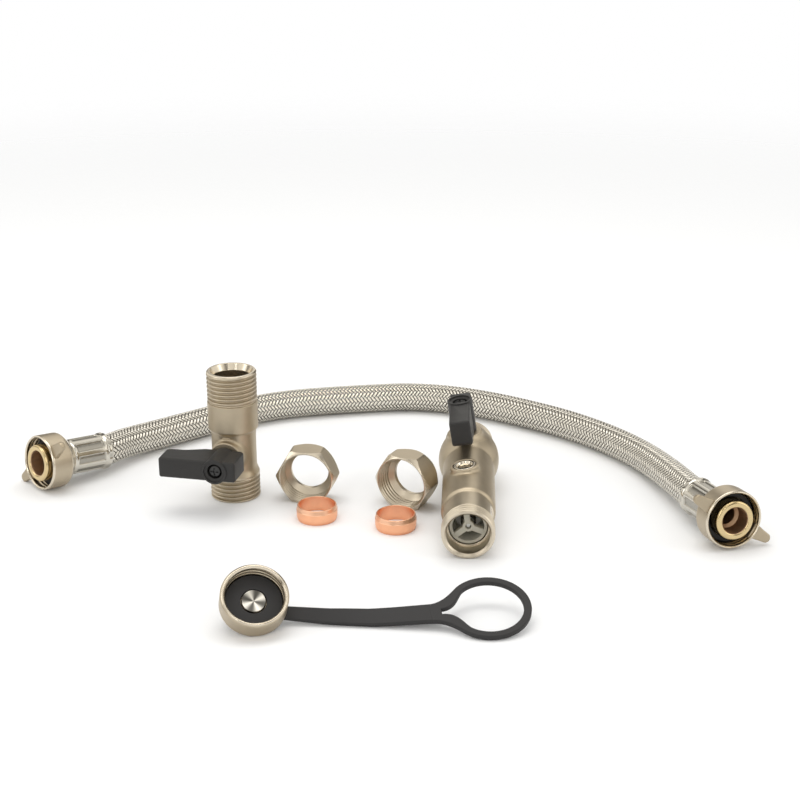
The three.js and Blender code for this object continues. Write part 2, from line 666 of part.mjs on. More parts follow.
function testSealPiece() {
  const base = TEST_BOSS_REACH - TEST_POCKET + GAP;
  return onSpindle(tube(TEST_PLUG_D, TEST_HOLE_D + GAP, base, base + TEST_SEAL_H, SMALL_SIDES), TEST_AT);
}

// Check cartridge, front at Z = 0: the poppet closes backwards against the lip
function cagePiece() {
  const outer = CHECK_BORE_D / 2 - GAP;
  const inner = CAGE_INNER_D / 2;
  const groove = outer - CAGE_GROOVE_DEPTH;
  const wall = turned([
    [inner, 0],
    [outer, 0],
    [outer, CAGE_GROOVE_FROM],
    [groove, CAGE_GROOVE_FROM],
    [groove, CAGE_GROOVE_FROM + CAGE_GROOVE_W],
    [outer, CAGE_GROOVE_FROM + CAGE_GROOVE_W],
    [outer, CAGE_LENGTH],
    [CAGE_LIP_D / 2, CAGE_LENGTH],
    [CAGE_LIP_D / 2, CAGE_LIP_FROM],
    [inner, CAGE_LIP_FROM],
  ], INNER_SIDES);
  const spokes = [0, 1, 2].map((i) => {
    const spoke = block(CAGE_SPOKE, inner + 0.4, CAGE_SPOKE_H);
    return spoke.translate(0, -(inner + 0.4) / 2, CAGE_SPOKE_H / 2).rotateZ((2 * Math.PI * i) / 3);
  });
  const hub = rod(CAGE_HUB_D, 0, CAGE_SPOKE_H);
  return cut(joined(wall, hub, ...spokes), rod(CAGE_HUB_HOLE_D, -1, CAGE_SPOKE_H + 1));
}

function poppetPiece() {
  const back = CAGE_LIP_FROM - GAP;
  const front = back - POPPET_H;
  return turned([
    [0, POPPET_NECK],
    [POPPET_STEM_D / 2, POPPET_NECK],
    [POPPET_STEM_D / 2, front],
    [POPPET_D / 2 - 0.5, front],
    [POPPET_D / 2, front + 0.5],
    [POPPET_D / 2, back],
    [0, back],
  ], SMALL_SIDES);
}

function springPiece() {
  const from = CAGE_SPOKE_H + GAP + SPRING_WIRE / 2;
  const to = CAGE_LIP_FROM - POPPET_H - 2 * GAP - SPRING_WIRE / 2;
  const helix = new Helix((SPRING_D - SPRING_WIRE) / 2, from, to, SPRING_TURNS);
  return swept(helix, SPRING_WIRE / 2, 5, 9 * SPRING_TURNS);
}

function cageSealPiece() {
  const from = CAGE_GROOVE_FROM + GAP;
  const inner = CHECK_BORE_D - 2 * CAGE_GROOVE_DEPTH;
  return tube(CHECK_BORE_D - 2 * GAP, inner, from, from + CAGE_GROOVE_W - 2 * GAP);
}

function addCartridge(parent, prefix, at) {
  const cartridge = new THREE.Group();
  cartridge.position.z = at;
  parent.add(cartridge);
  piece(cartridge, `${prefix}_cage`, cagePiece(), greyPlastic());
  piece(cartridge, `${prefix}_poppet`, poppetPiece(), whiteSeat());
  piece(cartridge, `${prefix}_spring`, springPiece(), steel());
  piece(cartridge, `${prefix}_o_ring`, cageSealPiece(), blackRubber());
}

// The lying valve touches the floor at its mouth's rim and at the widest part of its barrel
function addDoubleCheckValve() {
  const lie = Math.atan2((CHECK_HOUSING_D - THREAD_D) / 2, CHECK_SPINDLE);
  const rest = new THREE.Group();
  rest.position.set(CHECK_PLACE.x, CHECK_PLACE.y, (THREAD_D / 2) * Math.cos(lie));
  rest.rotation.set(-Math.PI / 2 + lie, 0, radians(CHECK_PLACE.turn), "ZXY");
  const valve = new THREE.Group();
  valve.rotation.z = radians(-CHECK_ROLL);
  rest.add(valve);
  kit.add(rest);

  piece(valve, "check_valve_body", checkBody(), nickel());
  piece(valve, "check_end_adaptor", adaptorPiece(), nickel());
  addBallValve(valve, "check", {
    ballD: CHECK_BALL_D,
    boreD: CHECK_BALL_BORE_D,
    cavityD: CHECK_CAVITY_D,
    bossReach: CHECK_BOSS_REACH,
    spindle: CHECK_SPINDLE,
    closedNow: false,
  });
  piece(valve, "test_plug", testPlugPiece(), brightNickel());
  piece(valve, "test_plug_seal", testSealPiece(), blackRubber());
  addCartridge(valve, "front_check", CARTRIDGE_AT[0]);
  addCartridge(valve, "rear_check", CARTRIDGE_AT[1]);
}

// Hose end in its own frame: mouth of the union nut at Z = 0, looking along +Z
function unionNutPiece() {
  const outer = UNION_D / 2;
  const bore = FEMALE_THREAD_D / 2;
  const lipHole = TAIL_NECK_D / 2 + GAP;
  const shell = turned([
    [lipHole, -UNION_LENGTH],
    [UNION_BACK_D / 2, -UNION_LENGTH],
    [outer, -UNION_CYLINDER],
    [outer, -FINE_EDGE],
    [outer - FINE_EDGE, 0],
    [bore + FINE_EDGE, 0],
    [bore, -FINE_EDGE],
    [bore, -UNION_LENGTH + UNION_LIP],
    [lipHole, -UNION_LENGTH + UNION_LIP],
  ]);
  const wings = [0, Math.PI].map((turn) => {
    const from = bore + FINE_EDGE;
    const tip = WING_TIP / 2;
    const half = WING_WIDTH / 2;
    const outline = [[from, -half], [WING_REACH - tip, -tip], [WING_REACH - 0.3 * tip, -0.7 * tip]];
    const mirrored = outline.map(([x, y]) => [x, -y]).reverse();
    const wing = plate([...outline, [WING_REACH, 0], ...mirrored], WING_THICK, FINE_EDGE);
    return wing.translate(0, 0, -WING_SETBACK - WING_THICK / 2).rotateZ(turn);
  });
  return joined(shell, ...wings);
}

function tailPiece() {
  const flangeBack = -UNION_LENGTH + UNION_LIP + GAP;
  const flangeFront = flangeBack + TAIL_FLANGE_H;
  const bore = TAIL_BORE_D / 2;
  const throat = TAIL_THROAT_D / 2;
  return turned([
    [throat, -TAIL_END],
    [TAIL_NECK_D / 2, -TAIL_END],
    [TAIL_NECK_D / 2, flangeBack],
    [TAIL_FLANGE_D / 2, flangeBack],
    [TAIL_FLANGE_D / 2, flangeFront],
    [TAIL_NOSE_D / 2, flangeFront],
    [TAIL_NOSE_D / 2, TAIL_NOSE_OUT - 0.6],
    [TAIL_NOSE_D / 2 - 0.6, TAIL_NOSE_OUT],
    [bore + 0.5, TAIL_NOSE_OUT],
    [bore, TAIL_NOSE_OUT - 0.5],
    [bore, -TAIL_BORE_DEPTH],
    [throat, -TAIL_BORE_DEPTH - 1],
  ], INNER_SIDES);
}

function unionWasherPiece() {
  const back = -UNION_LENGTH + UNION_LIP + GAP + TAIL_FLANGE_H + GAP;
  return tube(UNION_WASHER_D, TAIL_NOSE_D + 2 * GAP, back, back + UNION_WASHER_H);
}

function ferrulePiece() {
  const start = -FERRULE_FROM;
  const end = start - FERRULE_LENGTH;
  const grip = HOSE_D / 2 + GAP;
  const shell = turned([
    [grip, end],
    [FERRULE_RING_D / 2, end],
    [FERRULE_RING_D / 2, end + FERRULE_RING_W],
    [FERRULE_D / 2, end + FERRULE_RING_W + 0.6],
    [FERRULE_D / 2, start - 1],
    [FERRULE_D / 2 - 1, start],
    [TAIL_NECK_D / 2 + GAP, start],
    [TAIL_NECK_D / 2 + GAP, start - FERRULE_LIP],
    [grip, start - FERRULE_LIP - 0.4],
  ], INNER_SIDES);
  const fluteFrom = end + FERRULE_RING_W + 2;
  const fluteTo = start - 2.6;
  const flutes = Array.from({ length: FLUTES }, (_, i) => {
    const away = FERRULE_D / 2 + FLUTE_D / 2 - FLUTE_DEPTH;
    return rod(FLUTE_D, fluteFrom, fluteTo, 6).translate(away, 0, 0).rotateZ((2 * Math.PI * i) / FLUTES);
  });
  return cut(solid(shell), ...flutes);
}

// Direction that a union nut looks in, and the place of its mouth's centre
function unionFrame({ x, y, turn }) {
  const tilt = radians(UNION_TILT);
  const swing = radians(turn);
  const out = new THREE.Vector3(
    Math.sin(swing) * Math.cos(tilt),
    -Math.cos(swing) * Math.cos(tilt),
    Math.sin(tilt),
  );
  const height = (UNION_D / 2) * Math.cos(tilt) + UNION_CYLINDER * Math.sin(tilt);
  return { out, mouth: new THREE.Vector3(x, y, height) };
}

function addHoseEnd(prefix, place) {
  const { out, mouth } = unionFrame(place);
  const side = new THREE.Vector3(-out.y, out.x, 0).normalize();
  const up = new THREE.Vector3().crossVectors(out, side);
  const end = new THREE.Group();
  end.position.copy(mouth);
  end.quaternion.setFromRotationMatrix(new THREE.Matrix4().makeBasis(side, up, out));
  kit.add(end);
  const nutTurn = new THREE.Group();
  nutTurn.rotation.z = radians(place.wings);
  end.add(nutTurn);
  piece(nutTurn, `${prefix}_union_nut`, unionNutPiece(), nickel());
  piece(end, `${prefix}_hose_tail`, tailPiece(), brass());
  piece(end, `${prefix}_union_washer`, unionWasherPiece(), blackRubber());
  piece(end, `${prefix}_ferrule`, ferrulePiece(), brightNickel());
}

// The hose runs straight out of each ferrule and then lies on the floor
function hosePath() {
  const stub = TAIL_END + GAP;
  const straight = FERRULE_FROM + FERRULE_LENGTH;
  const behind = (place, distance) => {
    const { out, mouth } = unionFrame(place);
    return mouth.clone().addScaledVector(out, -distance);
  };
  const start = [stub, straight * 0.75, straight].map((d) => behind(UNION_PLACES.left, d));
  const end = [straight, straight * 0.75, stub].map((d) => behind(UNION_PLACES.right, d));
  const onFloor = HOSE_D / 2 + HOSE_CLEAR;
  const middle = HOSE_ROUTE.map(([x, y, lift]) => new THREE.Vector3(x, y, onFloor + lift));
  return new THREE.CatmullRomCurve3([...start, ...middle, ...end], false, "centripetal");
}

// Compression nut: hexagon with turned corners, female thread in front, pipe hole behind
function compressionNutPiece() {
  const corner = NUT_FLATS / Math.sqrt(3);
  const flats = new THREE.CylinderGeometry(corner, corner, NUT_LENGTH, 6);
  flats.rotateY(Math.PI / 6).rotateX(Math.PI / 2);
  const crown = NUT_FLATS / 2 - 0.2;
  const rim = corner + 1;
  const slope = (rim - crown) / (corner - crown);
  const top = NUT_LENGTH / 2 + 0.01;
  const envelope = turned([
    [0, -top], [crown, -top], [rim, -top + slope * NUT_BACK_CHAMFER],
    [rim, top - slope * NUT_CHAMFER], [crown, top], [0, top],
  ]);
  const threadR = FEMALE_THREAD_D / 2;
  const bore = turned([
    [0, -NUT_LENGTH],
    [NUT_PIPE_HOLE_D / 2, -NUT_LENGTH],
    [NUT_PIPE_HOLE_D / 2, NUT_LENGTH / 2 - NUT_THREAD_DEPTH - NUT_CONE],
    [threadR - 0.6, NUT_LENGTH / 2 - NUT_THREAD_DEPTH],
    [threadR - 0.6, NUT_LENGTH / 2 - 1],
    [threadR + 0.2, NUT_LENGTH / 2],
    [threadR + 0.2, NUT_LENGTH],
    [0, NUT_LENGTH],
  ]);
  return solid(flats).intersect(solid(envelope)).subtract(solid(bore));
}

function addCompressionNut(name, place) {
  const nut = piece(kit, name, compressionNutPiece(), nickel());
  nut.position.set(place.x, place.y, NUT_FLATS / 2);
  nut.rotation.set(Math.PI / 2, 0, radians(place.turn), "ZXY");
}

function olivePiece() {
  const ridge = OLIVE_HEIGHT * OLIVE_RIDGE_AT;
  return turned([
    [OLIVE_BORE_D / 2, 0],
    [OLIVE_END_D / 2, 0],
    [OLIVE_RIDGE_D / 2 - 0.1, ridge * 0.55],
    [OLIVE_RIDGE_D / 2, ridge],
    [OLIVE_END_D / 2, OLIVE_HEIGHT],
    [OLIVE_BORE_D / 2, OLIVE_HEIGHT],
  ], INNER_SIDES);
}

// Cap: it leans on its front edge and on the foot of the rivet that holds the strap's eyelet
const EYELET_FROM = -GAP - STRAP_THICK;
const FOOT_FROM = EYELET_FROM - GAP - RIVET_FOOT_H;
const CAP_TILT = Math.atan2(-FOOT_FROM, CAP_D / 2 - RIVET_FOOT_D / 2);
const CAP_LIFT = (CAP_D / 2) * Math.sin(CAP_TILT);

function addCap() {
  const cap = new THREE.Group();
  cap.position.set(CAP_PLACE.x, CAP_PLACE.y, CAP_LIFT);
  cap.rotation.set(CAP_TILT, 0, radians(CAP_PLACE.turn), "ZXY");
  kit.add(cap);
  const outer = CAP_D / 2;
  const threadR = FEMALE_THREAD_D / 2 - 0.3;
  piece(cap, "cap_shell", turned([
    [RIVET_SHANK_D / 2 + GAP, 0],
    [outer, 0],
    [outer, CAP_HEIGHT - CAP_CHAMFER],
    [outer - CAP_CHAMFER, CAP_HEIGHT],
    [threadR + 0.6, CAP_HEIGHT],
    [threadR, CAP_HEIGHT - 0.8],
    [threadR, CAP_FLOOR],
    [RIVET_SHANK_D / 2 + GAP, CAP_FLOOR],
  ]), nickel());
  const washerFrom = CAP_FLOOR + GAP;
  const washer = tube(CAP_WASHER_D, RIVET_HEAD_D + 2 * GAP, washerFrom, washerFrom + CAP_WASHER_H);
  piece(cap, "cap_washer", washer, blackRubber());
  const headTop = washerFrom + RIVET_HEAD_H;
  piece(cap, "cap_rivet", turned([
    [0, FOOT_FROM],
    [RIVET_FOOT_D / 2, FOOT_FROM],
    [RIVET_FOOT_D / 2, FOOT_FROM + RIVET_FOOT_H],
    [RIVET_SHANK_D / 2, FOOT_FROM + RIVET_FOOT_H],
    [RIVET_SHANK_D / 2, washerFrom],
    [RIVET_HEAD_D / 2, washerFrom],
    [RIVET_HEAD_D / 2, headTop - 0.4],
    [RIVET_HEAD_D / 2 - 0.4, headTop],
    [0, headTop],
  ], INNER_SIDES), brightNickel());
}

// Ring whose two sides run out to a neck in an S-curve
function teardrop(radius, reach, half, pull) {
  const shoulder = radians(LOOP_SHOULDER);
  const onRing = (angle) => new THREE.Vector2(radius * Math.cos(angle), radius * Math.sin(angle));
  const tangent = new THREE.Vector2(Math.sin(shoulder), -Math.cos(shoulder));
  const neck = new THREE.Vector2(-reach, half);
  const leave = neck.clone().add(new THREE.Vector2(pull, 0));
  const meet = onRing(shoulder).addScaledVector(tangent, -pull / 2);
  const upper = new THREE.CubicBezierCurve(neck, leave, meet, onRing(shoulder)).getPoints(ARM_STEPS);
  const arc = Array.from({ length: ROUND_SIDES - 1 }, (_, i) =>
    onRing(THREE.MathUtils.lerp(shoulder, -shoulder, (i + 1) / ROUND_SIDES)));
  const lower = upper.map((p) => new THREE.Vector2(p.x, -p.y)).reverse();
  return [...upper, ...arc, ...lower].reverse();
}

function loopPlate() {
  const outline = new THREE.Shape(teardrop(LOOP_D / 2, LOOP_NECK, STRAP_WIDE / 2, LOOP_PULL));
  const hole = teardrop(LOOP_D / 2 - LOOP_BAND, LOOP_NOTCH, LOOP_NOTCH_W / 2, LOOP_PULL);
  outline.holes.push(new THREE.Path(hole));
  const flat = new THREE.ExtrudeGeometry(outline, { depth: STRAP_THICK, bevelEnabled: false });
  return flat.translate(0, 0, -STRAP_THICK / 2);
}

// Strap: eyelet in the cap's tilted plane, a band that widens and untwists, and a round loop
function addStrap() {
  const loopTilt = radians(LOOP_TILT);
  const half = STRAP_THICK / 2;
  const capFrame = new THREE.Matrix4().makeRotationFromEuler(
    new THREE.Euler(CAP_TILT, 0, radians(CAP_PLACE.turn), "ZXY"),
  );
  capFrame.setPosition(CAP_PLACE.x, CAP_PLACE.y, CAP_LIFT);
  const eyelet = tube(EYELET_D, RIVET_SHANK_D + 2 * GAP, EYELET_FROM, EYELET_FROM + STRAP_THICK);
  eyelet.applyMatrix4(capFrame);

  const loopLift = (LOOP_D / 2) * Math.sin(loopTilt) + half * Math.cos(loopTilt) + STRAP_CLEAR;
  const loopFrame = new THREE.Matrix4().makeRotationX(loopTilt);
  loopFrame.multiply(new THREE.Matrix4().makeRotationZ(radians(LOOP_TURN)));
  loopFrame.setPosition(LOOP_PLACE.x, LOOP_PLACE.y, loopLift);
  const loop = loopPlate().applyMatrix4(loopFrame);

  const inCapPlane = ({ x, y }) => new THREE.Vector3(x, y, EYELET_FROM + half).applyMatrix4(capFrame);
  const start = inCapPlane(STRAP_ROOT);
  const leave = inCapPlane(STRAP_LEAVE);
  const end = new THREE.Vector3(-LOOP_NECK + STRAP_OVERLAP, 0, 0).applyMatrix4(loopFrame);
  const middle = leave.clone().lerp(end, 0.5);
  middle.z -= STRAP_SAG;
  const path = new THREE.CatmullRomCurve3([start, leave, middle, end], false, "centripetal");
  const startTurn = new THREE.Quaternion().setFromRotationMatrix(capFrame);
  const endTurn = new THREE.Quaternion().setFromRotationMatrix(loopFrame);
  const rings = Array.from({ length: STRAP_STATIONS + 1 }, (_, i) => {
    const t = i / STRAP_STATIONS;
    const turn = startTurn.clone().slerp(endTurn, THREE.MathUtils.smoothstep(t, STRAP_HOLD, 1));
    const width = THREE.MathUtils.lerp(STRAP_NARROW, STRAP_WIDE, t);
    const across = new THREE.Vector3(0, width / 2, 0).applyQuaternion(turn);
    const through = new THREE.Vector3(0, 0, half).applyQuaternion(turn);
    const centre = path.getPointAt(t);
    centre.z = Math.max(centre.z, Math.abs(across.z) + through.z + STRAP_CLEAR);
    return [[-1, -1], [1, -1], [1, 1], [-1, 1]].map(([u, v]) =>
      centre.clone().addScaledVector(across, u).addScaledVector(through, v));
  });
  piece(kit, "cap_strap", joined(eyelet, lofted(rings), loop), blackRubber());
}

addIsolatingValve();
addDoubleCheckValve();
piece(kit, "braided_hose", swept(hosePath(), HOSE_D / 2, HOSE_SIDES, HOSE_STEPS), braid());
addHoseEnd("left", UNION_PLACES.left);
addHoseEnd("right", UNION_PLACES.right);
Object.values(NUT_PLACES).forEach((place, i) => addCompressionNut(`compression_nut_${i + 1}`, place));
Object.values(OLIVE_PLACES).forEach((place, i) => {
  piece(kit, `olive_${i + 1}`, olivePiece(), copper()).position.set(place.x, place.y, 0);
});
addCap();
addStrap();

export default kit;
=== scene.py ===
"""Looks of the filling loop kit, built over its CAD frame: smooth pieces with real threads, a woven
hose, finishes, light and a camera at the photograph's angle. Sizes are millimetres in a piece's own
frame, and metres once a piece is placed."""

import json
import math

import bpy
import numpy as np
from bpy.props import FloatProperty, FloatVectorProperty, IntProperty, PointerProperty
from mathutils import Matrix, Vector
from mathutils.geometry import tessellate_polygon


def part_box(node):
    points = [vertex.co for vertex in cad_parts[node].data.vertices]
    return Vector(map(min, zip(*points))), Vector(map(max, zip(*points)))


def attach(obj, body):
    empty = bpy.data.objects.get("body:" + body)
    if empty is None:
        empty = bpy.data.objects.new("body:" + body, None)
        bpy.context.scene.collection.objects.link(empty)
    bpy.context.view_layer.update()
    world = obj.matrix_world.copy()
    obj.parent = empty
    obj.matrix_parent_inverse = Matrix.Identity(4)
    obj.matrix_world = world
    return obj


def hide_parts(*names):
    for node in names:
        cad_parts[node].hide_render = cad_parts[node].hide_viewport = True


bl_info = {
    "name": "Filling Loop Kit",
    "version": (1, 0, 0),
    "blender": (4, 5, 0),
    "location": "View3D > Sidebar > Filling Loop",
    "description": "Builds the smooth pieces, finishes, light and camera of a filling loop kit",
    "category": "Object",
}

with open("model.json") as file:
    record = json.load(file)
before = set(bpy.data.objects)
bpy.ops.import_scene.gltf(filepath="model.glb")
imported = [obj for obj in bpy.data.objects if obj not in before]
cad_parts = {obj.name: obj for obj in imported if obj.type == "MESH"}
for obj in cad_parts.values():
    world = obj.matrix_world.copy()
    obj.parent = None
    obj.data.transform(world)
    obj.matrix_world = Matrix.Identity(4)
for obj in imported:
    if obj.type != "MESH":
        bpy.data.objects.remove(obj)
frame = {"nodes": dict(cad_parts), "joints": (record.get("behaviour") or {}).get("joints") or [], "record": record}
JOINTS = {joint["name"]: joint for joint in frame["joints"]}
SLOTS = {part["node"]: part["material_slot"] for part in frame["record"]["subparts"]}
MM = 0.001
TAU = 2 * math.pi

# Threads, sockets and the gap between pieces, in millimetres like every size here
THREAD_R = 10.4775
THREAD_CHAMFER = 0.6
THREAD_PITCH = 1.814
THREAD_DEPTH = 0.95
FEMALE_R = 10.7
CAP_FEMALE_R = 10.4
SOCKET_R = 7.7
SOCKET_CHAMFER = 1.3
SOCKET_CONE = 2.6
GAP = 0.3

# Levers and their screws, with depths under the lever's face
HUB_DEPTH = 14.0
SCREW_R = 2.8
SCREW_SEAT = 2.7

# Hose and its two ends, with distances back from the mouth of a union nut
HOSE_D = 13.4
HOSE_CLEAR = 0.1
NUT_FLOOR = 9.2
TAIL_NOSE_R = 7.9
TAIL_SHOULDER = 7.1
TAIL_END = 17.0
FERRULE_FROM = 13.0
FERRULE_LENGTH = 20.0
SIDES = ("left", "right")

# Isolating valve, with heights from its lower end
ISO_LENGTH = 56.0
ISO_WAIST_R = 9.35
ISO_SPINDLE = 20.8
ISO_BOSS_REACH = 12.0

# Double check valve, with distances from its mouth
CHECK_SPINDLE = 71.5
CHECK_TUBE_R = 10.85
CHECK_COLLAR_R = 10.0
CHECK_BOSS_REACH = 13.2
CHECK_BODY_END = 82.0
CHECK_LENGTH = 90.0
HOUSING_ARC = 29.7
HOUSING_R = 12.9
TEST_AT = 39.7
TEST_REACH = 12.0

# Cap, and its strap in the cap's frame
CAP_HOLE_R = 2.2
STRAP_ROOT = (3.5, -2.2)
STRAP_LEAVE = (12.8, -4.5)
STRAP_NARROW = 4.4
STRAP_WIDE = 8.4
STRAP_BEVEL = 0.45

# Loop at the end of the strap, with its place on the floor
LOOP_PLACE = (58.0, -61.1)
LOOP_TILT = math.radians(16)
LOOP_TURN = math.radians(8.5)
LOOP_NECK = 21.3
LOOP_NOTCH = 17.0
LOOP_BAND = 2.8
LOOP_SHOULDER = math.radians(128)

HOSE_ROUTE = [  # x, y and how far the hose is lifted off the floor
    (-97.8, 89.5, 1.6), (-85.7, 103.6, 0.3), (-72.7, 115.4, 0), (-58.1, 127.4, 0),
    (-43.1, 138.2, 0), (-26.2, 146, 0), (-6.9, 150.8, 0), (12.7, 154.2, 0),
    (28.5, 156, 0), (44.2, 154.2, 0), (59.8, 148.8, 0), (74.9, 140.6, 0),
    (89.5, 130.4, 0), (103.8, 118.6, 0), (116.6, 105, 0), (126.9, 91, 0),
    (135.2, 75.2, 0.2), (141, 56.8, 1.2),
]


# Places of the pieces, read from the frame's joints and mounts

def basis(origin, z, y=None, x=None):
    """Frame with a given Z and with Y or X as near as possible to the one given; origin in metres."""
    z = np.array(z, float) / np.linalg.norm(z)
    if y is not None:
        x = np.cross(y, z)
    x = np.array(x, float) - z * np.dot(x, z)
    x /= np.linalg.norm(x)
    place = np.eye(4)
    place[:3, 0], place[:3, 1], place[:3, 2] = x, np.cross(z, x), z
    place[:3, 3] = np.array(origin, float) / MM
    return place


def shifted(place, x=0.0, y=0.0, z=0.0):
    """The same frame moved along its own axes."""
    moved = place.copy()
    moved[:3, 3] = place[:3, :3] @ np.array([x, y, z]) + place[:3, 3]
    return moved


def isolating_frame():
    """Origin under the valve on the floor, Z up the pipe, Y away from the lever."""
    joint = JOINTS["isolating_lever_turn"]
    x, y, _ = joint["pos_m"]
    return basis((x, y, 0), (0, 0, 1), y=joint["axis"])


def check_frame():
    """Origin in the mouth, Z up the pipe, Y away from the lever."""
    joint = JOINTS["check_lever_turn"]
    z = -np.array(JOINTS["front_poppet_slide"]["axis"], float)
    place = basis(joint["pos_m"], z, y=-np.array(joint["axis"], float))
    return shifted(place, z=-CHECK_SPINDLE)


def union_frame(side):
    """Origin in the mouth of a union nut, Z out of the mouth along its axis, X level."""
    joint = JOINTS[f"{side}_union_spin"]
    return basis(joint["pos_m"], joint["axis"], x=np.cross((0, 0, 1), joint["axis"]))


def cap_frame():
    """Origin in the middle of the cap's closed face, Z towards its mouth, X level."""
    joint = JOINTS["cap_spin"]
    return basis(joint["pos_m"], joint["axis"], x=np.cross((0, 0, 1), joint["axis"]))


# Surfaces: each is a dict of points, faces, corner UVs and how bright each point is machined, lowered in cut
# grooves as painted shade

def skin(grid, v=None, shine=0.0, wrap_rows=True, wrap_cols=True):
    """Quads over a grid of points, rows along v and columns along u, joined round where asked."""
    rows, cols = grid.shape[:2]
    i = np.arange(rows if wrap_rows else rows - 1)
    j = np.arange(cols if wrap_cols else cols - 1)
    a, b = (k.ravel() for k in np.meshgrid(i, j, indexing="ij"))
    a2, b2 = (a + 1) % rows, (b + 1) % cols
    quads = np.stack([a * cols + b, a * cols + b2, a2 * cols + b2, a2 * cols + b], -1)
    v = np.linspace(0, 1, rows) if v is None else np.asarray(v, float)
    v = np.append(v, v[-1] + (v[-1] - v[-2]))
    u = np.linspace(0, 1, cols + 1 if wrap_cols else cols)
    uv = np.stack([np.stack([u[b], v[a]], -1), np.stack([u[b + 1], v[a]], -1),
                   np.stack([u[b + 1], v[a + 1]], -1), np.stack([u[b], v[a + 1]], -1)], 1)
    bright = np.asarray(shine, float)
    bright = np.broadcast_to(bright[:, None] if bright.ndim == 1 else bright, (rows, cols))
    return {"co": grid.reshape(-1, 3), "faces": quads, "uv": uv.reshape(-1, 2),
            "shine": bright.ravel().copy()}


def outward(surface):
    """Turns a surface of quads away from its middle, by the sign of the volume they enclose."""
    co, quads = surface["co"] - surface["co"].mean(axis=0), surface["faces"]
    a, b, c, d = (co[quads[:, k]] for k in range(4))
    if np.sum(a * (np.cross(b, c) + np.cross(c, d))) < 0:
        surface["faces"] = quads[:, ::-1]
        surface["uv"] = surface["uv"].reshape(-1, 4, 2)[:, ::-1].reshape(-1, 2)
    return surface


def soften(profile, radius=0.18, steps=3, closed=True):
    """Rounds each corner of an outline by a quadratic curve, with a support point on both sides."""
    points = np.array([p[:2] for p in profile], float)
    radii = [p[2] if len(p) > 2 else radius for p in profile]
    count, out = len(points), []
    for i, here in enumerate(points):
        if not closed and i in (0, count - 1):
            out.append(here)
            continue
        back, ahead = points[i - 1] - here, points[(i + 1) % count] - here
        lb, la = np.linalg.norm(back), np.linalg.norm(ahead)
        reach = min(radii[i], 0.4 * lb, 0.4 * la)
        back, ahead = back / lb, ahead / la
        if reach < 1e-4:
            out.append(here)
            continue
        out.append(here + back * reach * 1.2)
        for t in np.linspace(0, 1, steps + 1):
            out.append(here + (1 - t) ** 2 * back * reach + t ** 2 * ahead * reach)
        out.append(here + ahead * reach * 1.2)
    return np.array(out)


def refined(points, zone, step=0.1, closed=True):
    """Adds points to an outline wherever its height lies in the zone, for a thread."""
    low, high = zone
    out = []
    for k, (here, ahead) in enumerate(zip(points, np.roll(points, -1, axis=0))):
        out.append(here)
        if not closed and k == len(points) - 1:
            break
        middle, length = (here + ahead) / 2, np.linalg.norm(ahead - here)
        if low <= middle[1] <= high and length > step and abs(ahead[1] - here[1]) > 0.5 * length:
            for t in np.linspace(0, 1, int(length / step) + 2)[1:-1]:
                out.append(here + (ahead - here) * t)
    return np.array(out)


def smooth(low, high, value):
    """Soft step from 0 at low to 1 at high: t squared times (3 - 2 t), t the share of the way."""
    t = np.clip((value - low) / (high - low), 0, 1)
    return t * t * (3 - 2 * t)


def thread(zones, inside=False, radius=None, depth=THREAD_DEPTH):
    """Relief of a right-hand thread: depth times a rounded triangle wave of z / pitch - angle / turn."""
    sign = 1 if inside else -1

    def relief(r, z, a):
        """Change of radius that cuts the groove, faded out at both ends of each zone."""
        total = np.zeros_like(r * a)
        for low, high in zones:
            near = (r < radius + 0.6) & (r > radius - 0.3) if inside else r > radius - 0.45
            wave = np.abs(2 * ((z / THREAD_PITCH - a / TAU) % 1) - 1)
            fade = smooth(low - 0.3, low + 0.3, z) * smooth(high + 0.3, high - 0.3, z)
            total += sign * depth * smooth(0.06, 0.94, wave) * fade * near
        return total

    return relief


def turned(profile, sides=96, relief=None, zones=(), shine=0.0, closed=True, radius=0.18):
    """Surface of revolution: the point at angle a and outline place (r, z) is (r cos a, r sin a, z)."""
    points = soften(profile, radius, closed=closed)
    for zone in zones:
        points = refined(points, zone)
    angle = np.linspace(0, TAU, sides, endpoint=False)[None, :]
    r, z = np.maximum(points[:, :1], 0.002), points[:, 1:]
    cut = relief(r, z + 0 * angle, angle) if relief else 0 * angle + 0 * r
    r = r + cut
    grid = np.stack([r * np.cos(angle), r * np.sin(angle), z + 0 * angle], -1)
    along = np.append(0, np.cumsum(np.linalg.norm(np.diff(points, axis=0), axis=1)))
    bright = shine(points[:, 0], points[:, 1]) if callable(shine) else np.full(len(points), shine)
    # Painted shade: the shine, and with it the colour, drops by up to three quarters with the depth of a thread
    # groove, crimped flute or dent, so cut grooves come out darker
    bright = bright[:, None] * (1 - 0.75 * np.clip(np.abs(cut) / THREAD_DEPTH, 0, 1))
    return outward(skin(grid, along / max(along[-1], 1e-6), bright, wrap_rows=closed))


def spun(angle):
    """Frame turned about Z."""
    return np.array(Matrix.Rotation(angle, 4, "Z"))


def onto(surface, place):
    """The surface carried by a 4 x 4 frame."""
    moved = dict(surface)
    moved["co"] = surface["co"] @ place[:3, :3].T + place[:3, 3]
    return moved


